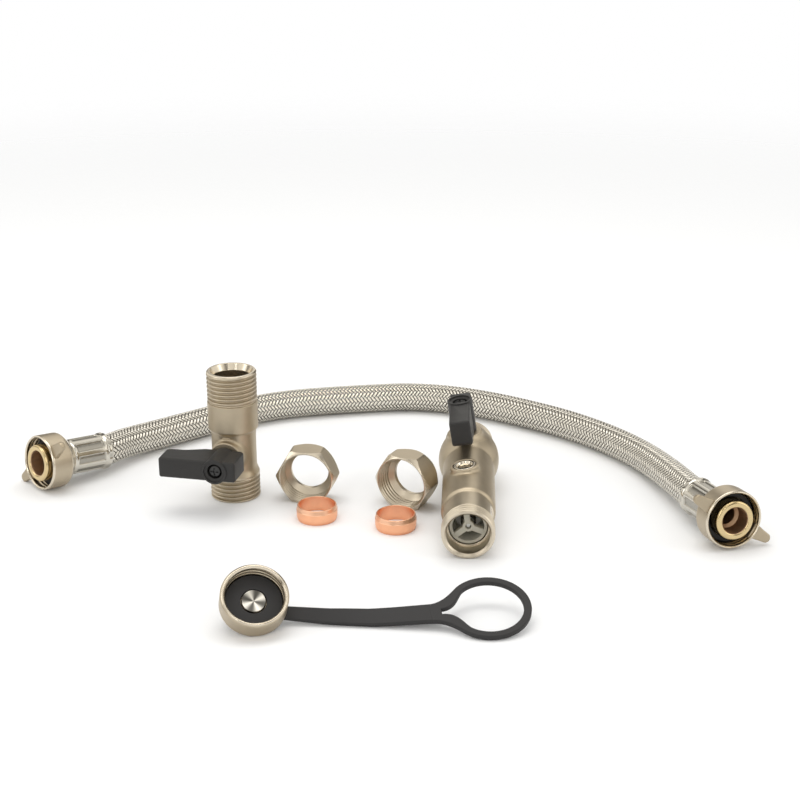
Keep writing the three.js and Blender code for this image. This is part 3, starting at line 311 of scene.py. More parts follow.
def slab(outline, thickness, bevel, steps=3, holes=()):
    """Plate between two flat faces with rounded rims: the outline moves in as the height turns over."""
    half = thickness / 2
    turns = np.linspace(0, math.pi / 2, steps + 1)
    levels = [(bevel * 1.15, half)] + [(bevel * (1 - math.sin(t)), half - bevel * (1 - math.cos(t)))
                                       for t in turns]
    levels += [(i, -h) for i, h in levels[::-1]]
    loops, parts = [], []
    for points, side in [(outline, 1.0)] + [(hole, -1.0) for hole in holes]:
        points = np.array(points, float)
        if signed_area(points) * side < 0:
            points = points[::-1]
        normals = corner_normals(points) * side
        grid = np.stack([np.column_stack([points + normals * i * side, np.full(len(points), h)])
                         for i, h in levels])
        loops.append(grid)
        parts.append(skin(grid, wrap_rows=False))
    caps = []
    for row, flip in ((0, False), (len(levels) - 1, True)):
        rims = [[Vector(p) for p in grid[row]] for grid in loops]
        co = np.concatenate([grid[row] for grid in loops])
        faces = [list(f) for f in tessellate_polygon(rims)]
        for k, f in enumerate(faces):
            a, b, c = (co[i] for i in f)
            up = (b[0] - a[0]) * (c[1] - a[1]) - (b[1] - a[1]) * (c[0] - a[0]) > 0
            if up == flip:
                faces[k] = f[::-1]
        caps.append({"co": co, "faces": faces, "uv": np.zeros((3 * len(faces), 2)),
                     "shine": np.zeros(len(co))})
    return merged(parts + caps)


def signed_area(points):
    """Area inside an outline, positive when it runs counterclockwise: half the sum of the cross
    products of each point with the next."""
    x, y = points[:, 0], points[:, 1]
    return 0.5 * np.sum(x * np.roll(y, -1) - y * np.roll(x, -1))


def corner_normals(points):
    """Inward offset of each corner of a counterclockwise outline, for one unit of inset."""
    ahead = np.roll(points, -1, axis=0) - points
    ahead /= np.linalg.norm(ahead, axis=1)[:, None]
    back = np.roll(ahead, 1, axis=0)
    normal = np.stack([-(ahead + back)[:, 1], (ahead + back)[:, 0]], -1)
    length = np.linalg.norm(normal, axis=1)[:, None]
    normal /= length
    return normal / np.maximum(length / 2, 0.5)


def merged(surfaces):
    """One surface made of several, with their numbering carried on."""
    co, faces, uv, shine, start = [], [], [], [], 0
    for part in surfaces:
        if isinstance(part["faces"], np.ndarray):
            faces += (part["faces"] + start).tolist()
        else:
            faces += [[i + start for i in face] for face in part["faces"]]
        co.append(part["co"])
        uv.append(part["uv"])
        shine.append(part["shine"])
        start += len(part["co"])
    return {"co": np.concatenate(co), "faces": faces, "uv": np.concatenate(uv),
            "shine": np.concatenate(shine)}


def rounded_outline(points, radius, steps=4):
    """Closed outline with each corner rounded."""
    return soften([(x, y, radius) for x, y in points], steps=steps)


def mesh_of(name, surface, sharp=35):
    """Blender mesh of a surface in millimetres, smooth but for edges over the sharp angle."""
    mesh = bpy.data.meshes.new(name)
    faces = surface["faces"]
    faces = faces.tolist() if isinstance(faces, np.ndarray) else faces
    mesh.from_pydata((surface["co"] * MM).tolist(), [], faces)
    layer = mesh.uv_layers.new(name="UVMap")
    layer.data.foreach_set("uv", surface["uv"].astype(np.float32).ravel())
    attribute = mesh.attributes.new("shine", "FLOAT", "POINT")
    attribute.data.foreach_set("value", surface["shine"].astype(np.float32))
    mesh.polygons.foreach_set("use_smooth", np.ones(len(mesh.polygons), bool))
    mesh.set_sharp_from_angle(angle=math.radians(sharp))
    mesh.update()
    return mesh


def carved(surface, tool, operation):
    """The surface joined with or cut by another closed surface."""
    names = ("carve_base", "carve_tool")
    objects = [bpy.data.objects.new(n, mesh_of(n, s)) for n, s in zip(names, (surface, tool))]
    for made in objects:
        bpy.context.scene.collection.objects.link(made)
    modifier = objects[0].modifiers.new("carve", "BOOLEAN")
    modifier.operation, modifier.solver, modifier.object = operation, "EXACT", objects[1]
    bpy.context.view_layer.update()
    evaluated = objects[0].evaluated_get(bpy.context.evaluated_depsgraph_get())
    mesh = bpy.data.meshes.new_from_object(evaluated)
    count = len(mesh.vertices)
    co = np.empty(count * 3, np.float32)
    mesh.vertices.foreach_get("co", co)
    result = {"co": co.reshape(-1, 3).astype(float) / MM,
              "faces": [list(p.vertices) for p in mesh.polygons],
              "uv": np.zeros((len(mesh.loops), 2)), "shine": np.zeros(count)}
    for made in objects:
        old = made.data
        bpy.data.objects.remove(made)
        bpy.data.meshes.remove(old)
    bpy.data.meshes.remove(mesh)
    return result


def add_piece(node, surface, place=None, body="kit", material=None, sharp=35):
    """New object that stands for a CAD node and rides on its body, carried by a frame if one is
    given; its finish is the node's own material slot."""
    name = f"smooth_{node}"
    surface = surface if place is None else onto(surface, place)
    piece = bpy.data.objects.new(name, mesh_of(name, surface, sharp))
    bpy.context.scene.collection.objects.link(piece)
    piece.data.materials.append(material or finish(SLOTS[node]))
    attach(piece, body)
    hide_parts(node)
    return piece


# Finishes

def feed(tree, node, inputs):
    """Gives inputs of a shader node a value each, or a socket to be linked to."""
    for key, value in inputs.items():
        if isinstance(value, bpy.types.NodeSocket):
            tree.links.new(value, node.inputs[key])
        else:
            node.inputs[key].default_value = value
    return node


def link(tree, kind, inputs=None, **settings):
    """New shader node with its settings and inputs."""
    node = tree.nodes.new(kind)
    for key, value in settings.items():
        setattr(node, key, value)
    return feed(tree, node, inputs or {})


def calc(tree, operation, *values):
    """Result of a maths node on up to three values."""
    return link(tree, "ShaderNodeMath", dict(enumerate(values)), operation=operation).outputs[0]


def mix(tree, share, a, b, blend="MIX"):
    """Colour between a and b."""
    inputs = {0: share, 6: a, 7: b}
    return link(tree, "ShaderNodeMix", inputs, data_type="RGBA", blend_type=blend).outputs[2]


def ramp(tree, value, low, high, start=0.0, end=1.0):
    """Soft step of a value from start to end as it goes from low to high."""
    inputs = {0: value, 1: low, 2: high, 3: start, 4: end}
    return link(tree, "ShaderNodeMapRange", inputs, interpolation_type="SMOOTHSTEP").outputs[0]


def noise(tree, size_mm, detail=3.0):
    """Noise in the object's own coordinates with features of about the size given."""
    where = link(tree, "ShaderNodeTexCoord").outputs["Object"]
    inputs = {"Vector": where, "Scale": 1 / (size_mm * MM), "Detail": detail}
    return link(tree, "ShaderNodeTexNoise", inputs).outputs["Fac"]


def bumped(tree, height, strength, distance):
    """Normal of a bump, whose distance is in metres."""
    inputs = {"Strength": strength, "Distance": distance, "Height": height}
    return link(tree, "ShaderNodeBump", inputs).outputs[0]


def blank(name):
    """New material with its node tree and its shader."""
    material = bpy.data.materials.new(name)
    material.use_nodes = True
    return material, material.node_tree, material.node_tree.nodes["Principled BSDF"]


def metal(name, dull, bright, rough_dull, rough_bright, grain=0.12):
    """Plated or bare metal: dull and grainy as forged, bright and smooth where it was machined; the machined shine
    is lowered in cut grooves, which paints shade there.
    """
    material, tree, shader = blank(name)
    machined = link(tree, "ShaderNodeAttribute", attribute_name="shine").outputs["Fac"]
    cloud = noise(tree, 4.0)
    shade = calc(tree, "MULTIPLY_ADD", cloud, 0.16, 0.9)
    grey = link(tree, "ShaderNodeCombineColor", {0: shade, 1: shade, 2: shade}).outputs[0]
    plain = mix(tree, machined, (*dull, 1), (*bright, 1))
    rough = calc(tree, "MULTIPLY_ADD", machined, rough_bright - rough_dull, rough_dull)
    strength = calc(tree, "MULTIPLY_ADD", machined, -0.85 * grain, grain)
    feed(tree, shader, {"Base Color": mix(tree, 1.0, plain, grey, "MULTIPLY"), "Metallic": 1.0,
                        "Roughness": calc(tree, "MULTIPLY_ADD", cloud, 0.08, rough),
                        "Normal": bumped(tree, noise(tree, 0.35, 2.0), strength, 0.0002)})
    return material


def plastic(name, tone, roughness, specular=0.5):
    """Moulded plastic or rubber with a fine matt grain and slight patches."""
    material, tree, shader = blank(name)
    cloud = noise(tree, 3.0)
    pale = [min(1.0, c * 1.25) for c in tone]
    feed(tree, shader, {
        "Base Color": mix(tree, cloud, (*tone, 1), (*pale, 1)), "Specular IOR Level": specular,
        "Roughness": calc(tree, "MULTIPLY_ADD", cloud, 0.12, roughness - 0.05),
        "Normal": bumped(tree, noise(tree, 0.25, 2.0), 0.1, 0.0001)})
    return material


def uv_of(tree):
    """The two coordinates of the piece's own UV map."""
    uv = link(tree, "ShaderNodeUVMap", uv_map="UVMap").outputs[0]
    return link(tree, "ShaderNodeSeparateXYZ", {0: uv}).outputs[:2]


def woven(name, low, high, strands, lead_mm):
    """Two-over-two braid: strands lean both ways round the hose, and each one dives under two and
    runs over two, so that rows of short dashes lean left and right in turn."""
    material, tree, shader = blank(name)
    round_, along = uv_of(tree)
    lean = calc(tree, "DIVIDE", along, lead_mm)
    turns = calc(tree, "MULTIPLY", round_, float(strands))
    a = calc(tree, "ADD", turns, lean)
    b = calc(tree, "SUBTRACT", turns, lean)
    across_a, across_b = calc(tree, "FRACT", a), calc(tree, "FRACT", b)
    step = calc(tree, "ADD", calc(tree, "FLOOR", a), calc(tree, "FLOOR", b))
    step = calc(tree, "FLOORED_MODULO", step, 4.0)

    def strand(across, run, offset):
        """Height of one strand: a flat ribbon of wires that rises and falls along its dash."""
        place = calc(tree, "ADD", calc(tree, "SUBTRACT", step, offset), run)
        crown = calc(tree, "SINE", calc(tree, "MULTIPLY", place, math.pi / 2))
        crown = calc(tree, "POWER", calc(tree, "MAXIMUM", crown, 0.0), 0.35)
        centre = calc(tree, "ABSOLUTE", calc(tree, "MULTIPLY_ADD", across, 2.0, -1.0))
        edge = ramp(tree, centre, 0.45, 1.0, 1.0, 0.0)
        wire = calc(tree, "ABSOLUTE", calc(tree, "SINE", calc(tree, "MULTIPLY", across, 5 * math.pi)))
        ribbon = calc(tree, "MULTIPLY", edge, calc(tree, "MULTIPLY_ADD", wire, 0.15, 0.85))
        return calc(tree, "MULTIPLY", crown, ribbon)

    leaning_back = calc(tree, "GREATER_THAN", step, 1.5)
    leaning_on = calc(tree, "SUBTRACT", 1.0, leaning_back)
    height = calc(tree, "MULTIPLY", strand(across_a, across_b, 0.0), leaning_on)
    height = calc(tree, "MULTIPLY_ADD", strand(across_b, across_a, 2.0), leaning_back, height)
    # Real gaps and painted shade: the colour falls from the braid's to the dark gap colour as a strand's height
    # falls, so the gaps are dark, and as painted shade so are the dips where a strand dives under others and each
    # ribbon's edges
    lit = ramp(tree, height, 0.15, 0.75)
    feed(tree, shader, {"Base Color": mix(tree, lit, (*low, 1), (*high, 1)), "Metallic": 1.0,
                        "Roughness": calc(tree, "MULTIPLY_ADD", height, -0.14, 0.38),
                        "Normal": bumped(tree, height, 1.0, 0.0006)})
    return material


FINISHES = {  # each makes a slot's material from the colours that a user has set
    "nickel": lambda c: metal("Satin nickel", c.nickel, c.nickel_machined, 0.42, 0.16),
    "bright_nickel": lambda c: metal("Bright nickel", c.steel, c.nickel_machined, 0.24, 0.14,
                                     grain=0.03),
    "brass": lambda c: metal("Turned brass", c.brass, c.brass_machined, 0.45, 0.16, grain=0.03),
    "copper": lambda c: metal("Copper", c.copper, c.copper_machined, 0.38, 0.25, grain=0.04),
    "steel": lambda c: metal("Bright steel", (0.13, 0.12, 0.1), c.steel, 0.26, 0.13, grain=0.03),
    "dark_steel": lambda c: metal("Blackened steel", (0.05, 0.05, 0.05), (0.09, 0.09, 0.09), 0.4,
                                  0.3, grain=0.05),
    "braid": lambda c: woven("Woven steel braid", c.braid_gap_and_shade, c.braid, 18, 1.85),
    "black_plastic": lambda c: plastic("Black moulding", c.lever, 0.45, specular=0.3),
    "black_rubber": lambda c: plastic("Black rubber", c.rubber, 0.55, specular=0.28),
    "seat_plastic": lambda c: plastic("White seat plastic", (0.62, 0.61, 0.57), 0.4),
    "cage_plastic": lambda c: plastic("Grey cage plastic", c.cage, 0.4),
}
made_finishes = {}


def finish(slot):
    """Material of a slot, made the first time that it is asked for."""
    if slot not in made_finishes:
        made_finishes[slot] = FINISHES[slot](bpy.context.scene.filling_colours)
    return made_finishes[slot]


# Sizes and colours that a user would change

def colour(name, description, default):
    """Colour property of a finish."""
    return FloatVectorProperty(name=name, description=description, default=default, size=3,
                               min=0, max=1, subtype="COLOR")


class FillingColours(bpy.types.PropertyGroup):
    """Colours of the finishes"""
    nickel: colour("Nickel", "Satin nickel of bodies and nuts", (0.46, 0.39, 0.285))
    nickel_machined: colour("Machined nickel", "Nickel on threads, bores and rims",
                            (0.72, 0.65, 0.535))
    steel: colour("Steel", "Ferrules and the edge of the test plug", (0.66, 0.63, 0.56))
    braid: colour("Braid", "Wires of the hose's braid", (0.95, 0.91, 0.82))
    # The dark colour of the gaps is also painted as shade where strands dip and at their edges
    braid_gap_and_shade: colour("Braid gaps", "Dark gaps between the strands", (0.08, 0.07, 0.055))
    brass: colour("Brass", "Brass inside its bores", (0.52, 0.36, 0.23))
    brass_machined: colour("Machined brass", "Brass where it is turned", (0.65, 0.51, 0.28))
    copper: colour("Copper", "Copper of the olives", (0.92, 0.47, 0.27))
    copper_machined: colour("Machined copper", "Bright ridge of the olives", (0.94, 0.57, 0.38))
    lever: colour("Levers", "Black plastic of both levers", (0.023, 0.022, 0.021))
    rubber: colour("Rubber", "Rubber of the strap and the washers", (0.026, 0.025, 0.025))
    cage: colour("Cage", "Plastic of the check cage in the mouth", (0.42, 0.40, 0.33))


class FillingStage(bpy.types.PropertyGroup):
    """Camera and lights"""
    lens: FloatProperty(name="Lens", description="Focal length on a 36 mm sensor", default=65.25,
                        min=10)
    pitch: FloatProperty(name="Camera pitch", description="Tilt of the camera below the horizon",
                         default=math.radians(19.8), subtype="ANGLE")
    place: FloatVectorProperty(name="Camera place", description="Where the camera stands",
                               default=(0.0265, -0.5185, 0.248), subtype="TRANSLATION", unit="LENGTH")
    key: FloatProperty(name="Top light", description="Brightness of the soft light overhead",
                       default=2.4, min=0)
    side: FloatProperty(name="Side panels", description="Brightness of the panels at the sides",
                        default=1.6, min=0)
    strip: FloatProperty(name="Strips", description="Brightness of the narrow lights in front",
                         default=5.0, min=0)
    panels: FloatProperty(name="Panels", description="How closely the pale panels of the room that "
                          "metal mirrors follow each other", default=8.0, min=0)


class FillingHose(bpy.types.PropertyGroup):
    """Sizes of the braided hose"""
    diameter: FloatProperty(name="Hose diameter", description="Over the braid", default=HOSE_D * MM,
                            unit="LENGTH")
    sections: IntProperty(name="Sections", description="Rings of points along the hose", default=420)
    sides: IntProperty(name="Sides", description="Points round the hose", default=64)


class FillingEnds(bpy.types.PropertyGroup):
    """Sizes of the pieces on the hose's ends"""
    nut_radius: FloatProperty(name="Union nut radius", description="Outside radius of a wing nut",
                              default=11.8 * MM, unit="LENGTH")
    wing_reach: FloatProperty(name="Wing reach", description="Nut axis to the tip of a wing",
                              default=19.3 * MM, unit="LENGTH")
    flute_depth: FloatProperty(name="Flute depth", description="Depth of the crimped flutes",
                               default=0.65 * MM, unit="LENGTH")


class FillingValves(bpy.types.PropertyGroup):
    """Sizes of both valves' levers"""
    lever_reach: FloatProperty(name="Lever reach", description="Spindle to the lever's tip",
                               default=24 * MM, unit="LENGTH")
    lever_width: FloatProperty(name="Lever width", description="Across the lever",
                               default=8.6 * MM, unit="LENGTH")


class FillingLoose(bpy.types.PropertyGroup):
    """Sizes of the compression nuts and olives"""
    flats: FloatProperty(name="Across flats", description="Compression nut across its flats",
                         default=22.8 * MM, unit="LENGTH")
    olive_height: FloatProperty(name="Olive height", description="Height of an olive",
                                default=6.3 * MM, unit="LENGTH")


class FillingCap(bpy.types.PropertyGroup):
    """Sizes of the cap's strap"""
    loop: FloatProperty(name="Loop diameter", description="Over the strap's loop",
                        default=30.2 * MM, unit="LENGTH")
    thickness: FloatProperty(name="Strap thickness", description="Thickness of the rubber strap",
                             default=2 * MM, unit="LENGTH")


GROUPS = {"filling_colours": FillingColours, "filling_stage": FillingStage,
          "filling_hose": FillingHose, "filling_ends": FillingEnds,
          "filling_valves": FillingValves, "filling_loose": FillingLoose,
          "filling_cap": FillingCap}


class FILLING_OT_stage(bpy.types.Operator):
    """Sets up the camera, a plain pale floor, soft light and a white background"""
    bl_idname = "filling.stage"
    bl_label = "Stage"

    def execute(self, context):
        size = context.scene.filling_stage
        scene = context.scene
        data = bpy.data.cameras.new("Camera")
        data.lens, data.sensor_width = size.lens, 36
        data.clip_start = 0.01
        camera = bpy.data.objects.new("Camera", data)
        camera.location = size.place
        camera.rotation_euler = (math.pi / 2 - size.pitch, 0, 0)
        scene.collection.objects.link(camera)
        scene.camera = camera

        reach = 6.0
        mesh = bpy.data.meshes.new("Floor")
        corners = [(-reach, -reach, 0), (reach, -reach, 0), (reach, reach, 0), (-reach, reach, 0)]
        mesh.from_pydata(corners, [], [(0, 1, 2, 3)])
        floor = bpy.data.objects.new("Floor", mesh)
        scene.collection.objects.link(floor)
        material, tree, shader = blank("Pale floor")
        where = link(tree, "ShaderNodeTexCoord").outputs["Object"]
        away = link(tree, "ShaderNodeVectorMath", {0: where}, operation="LENGTH").outputs["Value"]
        feed(tree, shader, {"Base Color": (0.93, 0.93, 0.925, 1), "Roughness": 0.9,
                            "Specular IOR Level": 0.0, "Alpha": ramp(tree, away, 0.4, 1.3, 1.0, 0.0)})
        mesh.materials.append(material)

        for name, place, across, radiance, tint in (
                ("Top light", (-0.05, 0.2, 1.0), (0.9, 0.5), size.key, (1, 0.99, 0.97)),
                ("Left panel", (-1.0, -0.1, 0.5), (0.35, 0.8), size.side, (1, 0.99, 0.97)),
                ("Right panel", (1.0, -0.2, 0.5), (0.3, 0.8), size.side, (1, 0.98, 0.95)),
                ("Left strip", (-0.42, -0.85, 0.42), (0.10, 0.6), size.strip, (1, 0.99, 0.97)),
                ("Right strip", (0.34, -0.9, 0.4), (0.07, 0.5), size.strip, (1, 0.98, 0.95))):
            lamp = bpy.data.lights.new(name, "AREA")
            lamp.shape, lamp.size, lamp.size_y = "RECTANGLE", *across
            lamp.energy, lamp.color = radiance * math.pi * across[0] * across[1], tint
            holder = bpy.data.objects.new(name, lamp)
            holder.location = place
            holder.rotation_euler = (-Vector(place)).to_track_quat("-Z", "Y").to_euler()
            scene.collection.objects.link(holder)

        world = bpy.data.worlds.new("White background")
        scene.world = world
        world.use_nodes = True
        tree = world.node_tree
        background = tree.nodes["Background"]
        path = link(tree, "ShaderNodeLightPath")
        # What shiny metal mirrors: a bright ceiling over grey walls with a few pale upright panels
        way = link(tree, "ShaderNodeSeparateXYZ",
                   {0: link(tree, "ShaderNodeTexCoord").outputs["Generated"]})
        wave = calc(tree, "SINE", calc(tree, "MULTIPLY_ADD", way.outputs[0], size.panels, 0.9))
        wave = calc(tree, "MULTIPLY_ADD", wave, 0.5, calc(tree, "MULTIPLY", way.outputs[2], 0.65))
        room = mix(tree, ramp(tree, wave, -0.1, 0.35), (0.13, 0.12, 0.105, 1), (1.05, 1.02, 0.96, 1))
        seen = mix(tree, path.outputs["Is Glossy Ray"], (0.80, 0.80, 0.80, 1), room)
        seen = mix(tree, path.outputs["Is Camera Ray"], seen, (1, 1, 1, 1))
        feed(tree, background, {0: seen, 1: 1.0})
        scene.view_settings.view_transform = "Standard"
        return {"FINISHED"}


def centripetal(points, steps=24):
    """Centripetal Catmull-Rom line through points, with its ends carried straight on."""
    p = [np.array(q, float) for q in points]
    p = [2 * p[0] - p[1]] + p + [2 * p[-1] - p[-2]]
    line = []
    for p0, p1, p2, p3 in zip(p, p[1:], p[2:], p[3:]):
        d0, d1, d2 = (max(math.sqrt(np.linalg.norm(b - a)), 1e-4)
                      for a, b in ((p0, p1), (p1, p2), (p2, p3)))
        t1 = ((p1 - p0) / d0 - (p2 - p0) / (d0 + d1) + (p2 - p1) / d1) * d1
        t2 = ((p2 - p1) / d1 - (p3 - p1) / (d1 + d2) + (p3 - p2) / d2) * d1
        for s in np.linspace(0, 1, steps, endpoint=False):
            line.append((2 * s ** 3 - 3 * s ** 2 + 1) * p1 + (s ** 3 - 2 * s ** 2 + s) * t1
                        + (-2 * s ** 3 + 3 * s ** 2) * p2 + (s ** 3 - s ** 2) * t2)
    line.append(p[-2])
    return np.array(line)


def evenly(line, count):
    """The same line by points at equal distances, and those distances from its start."""
    run = np.append(0, np.cumsum(np.linalg.norm(np.diff(line, axis=0), axis=1)))
    at = np.linspace(0, run[-1], count)
    return np.stack([np.interp(at, run, line[:, k]) for k in range(3)], -1), at


def hose_line():
    """The hose's centreline: straight out of each ferrule and then over the floor by the route."""
    straight = FERRULE_FROM + FERRULE_LENGTH
    stub = TAIL_END + GAP
    ends = [union_frame(side) for side in SIDES]
    start = [shifted(ends[0], z=-d)[:3, 3] for d in (stub, straight * 0.75, straight)]
    stop = [shifted(ends[1], z=-d)[:3, 3] for d in (straight, straight * 0.75, stub)]
    middle = [(x, y, HOSE_D / 2 + HOSE_CLEAR + lift) for x, y, lift in HOSE_ROUTE]
    return centripetal(start + middle + stop)


class FILLING_OT_hose(bpy.types.Operator):
    """Builds the braided hose, once the pieces on its ends exist, as a tube swept along its line: at
    angle a its surface lies radius times (sideways cos a + up sin a) from the line"""
    bl_idname = "filling.hose"
    bl_label = "Braided hose"

    def execute(self, context):
        size = context.scene.filling_hose
        radius = size.diameter / MM / 2
        line, run = evenly(hose_line(), size.sections)
        ahead = np.gradient(line, axis=0)
        ahead /= np.linalg.norm(ahead, axis=1)[:, None]
        sideways = np.cross(ahead, (0, 0, 1))
        sideways /= np.linalg.norm(sideways, axis=1)[:, None]
        up = np.cross(sideways, ahead)
        angle = np.linspace(0, TAU, size.sides, endpoint=False)
        ring = (sideways[:, None] * np.cos(angle)[None, :, None]
                + up[:, None] * np.sin(angle)[None, :, None])
        surface = outward(skin(line[:, None] + radius * ring, run, wrap_rows=False))
        piece = add_piece("braided_hose", surface)
        return {"FINISHED"}


def union_nut(outer, reach, turn):
    """Wing nut with its mouth at Z = 0: a shell threaded inside and two flat wings."""
    zone = (-7.4, -1.6)
    back, floor = -12.6, -NUT_FLOOR
    shell = turned([
        (5.9, back), (8.8, back, 0.3), (outer, -9.5, 0.9), (outer, -0.5, 0.3),
        (outer - 0.5, 0, 0.2), (11.15, 0, 0.15), (FEMALE_R, -0.5), (FEMALE_R, floor),
        (5.9, floor)], 128, thread([zone], True, FEMALE_R, 0.45), [zone],
        lambda r, z: np.where((r < 11.7) | (z > -0.9), 0.85, 0.15))
    tip, root, start = 2.0, 3.3, 9.9
    outline = [(start, -root), (reach - 4.6, -2.35)]
    outline += [(reach - tip + tip * math.cos(t), tip * math.sin(t))
                for t in np.linspace(-1.25, 1.25, 9)]
    outline += [(reach - 4.6, 2.35), (start, root)]
    wing = onto(slab(outline, 2.2, 0.5), shifted(np.eye(4), z=-2.1))
    wings = [onto(wing, spun(half_turn)) for half_turn in (0.0, math.pi)]
    return onto(merged([shell, *wings]), spun(turn))


def hose_tail():
    """Brass tail: a flanged nose in the nut and a stem that the hose is pushed on."""
    flange, stem, bore, stem_bore = 9.9, 5.6, 5.3, 3.9
    rear, front = -NUT_FLOOR + GAP, -TAIL_SHOULDER
    return turned([
        (stem_bore, -TAIL_END), (stem, -TAIL_END), (stem, rear), (flange, rear), (flange, front),
        (TAIL_NOSE_R, front), (TAIL_NOSE_R, 0.4, 0.3), (7.3, 1.0, 0.3), (5.8, 1.0, 0.25),
        (bore, 0.5), (bore, front + 0.5), (stem_bore, front - 0.5)], 96,
        shine=lambda r, z: np.where(r > 5.5, 1.0, 0.0))


def ferrule(flute):
    """Crimped sleeve: eight flat-bottomed flutes along it and shallow dents in its end ring."""
    end, mouth = -FERRULE_FROM - FERRULE_LENGTH, -FERRULE_FROM
    sleeve_r, ring_r = 7.7, 8.15

    def crimp(r, z, a):
        """Dents in the outside only: a soft step of the wave 0.5 + 0.5 cos 8a, along each zone."""
        outside = np.where(r > 7.3, 1.0, 0.0)
        wave = 0.5 + 0.5 * np.cos(8 * a)
        along = smooth(end + 3.4, end + 4.4, z) * smooth(mouth - 2.2, mouth - 3.2, z)
        dents = smooth(end + 0.2, end + 0.9, z) * smooth(end + 2.6, end + 1.9, z)
        return -outside * (flute * smooth(0.22, 0.5, wave) * along
                           + 0.4 * smooth(0.3, 1.0, wave) * dents)

    return turned([
        (6.85, end), (sleeve_r, end, 0.3), (ring_r, end + 0.7, 0.4), (ring_r, end + 2.0, 0.4),
        (sleeve_r, end + 2.8, 0.3), (sleeve_r, mouth - 1, 0.5), (6.7, mouth, 0.4), (5.9, mouth),
        (5.9, mouth - 3), (7.0, mouth - 3.4)], 200, crimp, [(end + 3, mouth - 2)], 0.95)


class FILLING_OT_ends(bpy.types.Operator):
    """Builds both hose ends: wing union nut, brass tail, rubber washer and crimped ferrule"""
    bl_idname = "filling.ends"
    bl_label = "Hose ends"

    def execute(self, context):
        size = context.scene.filling_ends
        outer, reach = size.nut_radius / MM, size.wing_reach / MM
        hole, low, high = TAIL_NOSE_R + GAP, -TAIL_SHOULDER + GAP, -4.6
        washer = turned([(hole, low), (10.2, low), (10.2, high, 0.3), (hole, high, 0.3)], 96)
        for side, wings in zip(SIDES, (38, -33)):
            place = union_frame(side)
            nut = union_nut(outer, reach, math.radians(wings))
            add_piece(f"{side}_union_nut", nut, place, f"{side}_union_nut_body")
            add_piece(f"{side}_hose_tail", hose_tail(), place)
            add_piece(f"{side}_union_washer", washer, place)
            add_piece(f"{side}_ferrule", ferrule(size.flute_depth / MM), place)
        return {"FINISHED"}


def boss(radius, reach, height, body_radius, fillet=1.2, hole=4.2, sides=96):
    """Round boss on a pipe: the wall comes down from the face and flares into the pipe's surface,
    whose distance from the axis at a sideways place x is sqrt(R(z)^2 - x^2)."""
    angle = np.linspace(0, TAU, sides, endpoint=False)
    rings = []

    def ring(rho, level, above=True):
        """One ring of the boss, at a height above the pipe's surface or over the pipe's axis."""
        x, dz = rho * np.cos(angle), rho * np.sin(angle)
        skin_height = np.sqrt(np.maximum(body_radius(height + dz) ** 2 - x ** 2, 1e-3))
        up = level + skin_height if above else np.full(sides, level)
        rings.append(np.stack([x, -up, height + dz], -1))

    ring(hole, reach - 2.0, False)
    ring(hole, reach - 0.25, False)
    ring(hole + 0.2, reach, False)
    ring(radius - 1.0, reach, False)
    ring(radius - 0.6, reach, False)
    for t in np.linspace(0, math.pi / 2, 5):
        ring(radius - 0.5 + 0.5 * math.sin(t), reach - 0.5 + 0.5 * math.cos(t), False)
    for t in np.linspace(0, math.pi / 2, 7):
        ring(radius + fillet * (1 - math.cos(t)), fillet * (1 - math.sin(t)))
    ring(radius + fillet + 0.3, -0.25)
    # The wall never rises above the face where the pipe is almost as high as the boss
    grid = np.stack(rings)
    grid[:, :, 1] = np.maximum(grid[:, :, 1], -reach)
    return outward(skin(grid, wrap_rows=False))


def lever_surface(size):
    """Lever in its own frame: paddle along +X, spindle along +Z with its face at Z = 0."""
    reach, width = size.lever_reach / MM, size.lever_width / MM
    heel, hub_r, hub_end = -8.6, 5.3, 0.1 - HUB_DEPTH
    seat, recess_r = -(SCREW_SEAT + GAP), SCREW_R + GAP
    side = rounded_outline([
        (heel, 0), (reach, 0), (reach, -10.0), (reach - 1.2, -11.0), (reach - 8, -11.3),
        (reach - 16, -HUB_DEPTH), (heel + 1.2, -HUB_DEPTH), (heel, -12.8)], 1.0)
    paddle = onto(slab(side, width, 0.9), np.array(Matrix.Rotation(math.pi / 2, 4, "X")))
    hub = turned([(0, hub_end), (hub_r, hub_end, 0.3), (hub_r, 0.5, 0.3), (0, 0.5)], 96,
                 closed=False)
    recess = turned([(0, seat), (recess_r, seat), (recess_r, -0.4), (4.4, -0.1), (4.4, 4), (0, 4)],
                    64, closed=False, radius=0.1)
    whole = carved(paddle, close_poles(hub), "UNION")
    return carved(whole, close_poles(recess), "DIFFERENCE")


def close_poles(surface):
    """Merges the points nearer than 0.01 mm to the axis into one point at each height."""
    co, faces = surface["co"].copy(), []
    near = np.hypot(co[:, 0], co[:, 1]) < 0.01
    index = np.arange(len(co))
    for level in np.unique(np.round(co[near, 2], 4)):
        ring = np.flatnonzero(near & (np.abs(co[:, 2] - level) < 1e-3))
        index[ring] = ring[0]
        co[ring[0], :2] = 0
    uv, at = [], 0
    for face in surface["faces"]:
        keep, corners = [], []
        for k, vertex in enumerate(face):
            if not keep or (index[vertex] != keep[-1] and index[vertex] != keep[0]):
                keep.append(int(index[vertex]))
                corners.append(surface["uv"][at + k])
        at += len(face)
        if len(keep) > 2:
            faces.append(keep)
            uv += corners
    used = np.unique([v for face in faces for v in face])
    back = np.full(len(co), -1)
    back[used] = np.arange(len(used))
    return {"co": co[used], "faces": [[int(back[v]) for v in face] for face in faces],
            "uv": np.array(uv), "shine": surface["shine"][used]}


def cross_cut(surface, half_length, half_width, height, bevel, turns=(0.0, math.pi / 2)):
    """The surface with crossed slots cut into it, their middle at a height."""
    bar = slab([(-half_length, -half_width), (half_length, -half_width), (half_length, half_width),
                (-half_length, half_width)], 2.0, bevel)
    for turn in turns:
        surface = carved(surface, onto(bar, shifted(spun(turn), z=height)), "DIFFERENCE")
    return surface


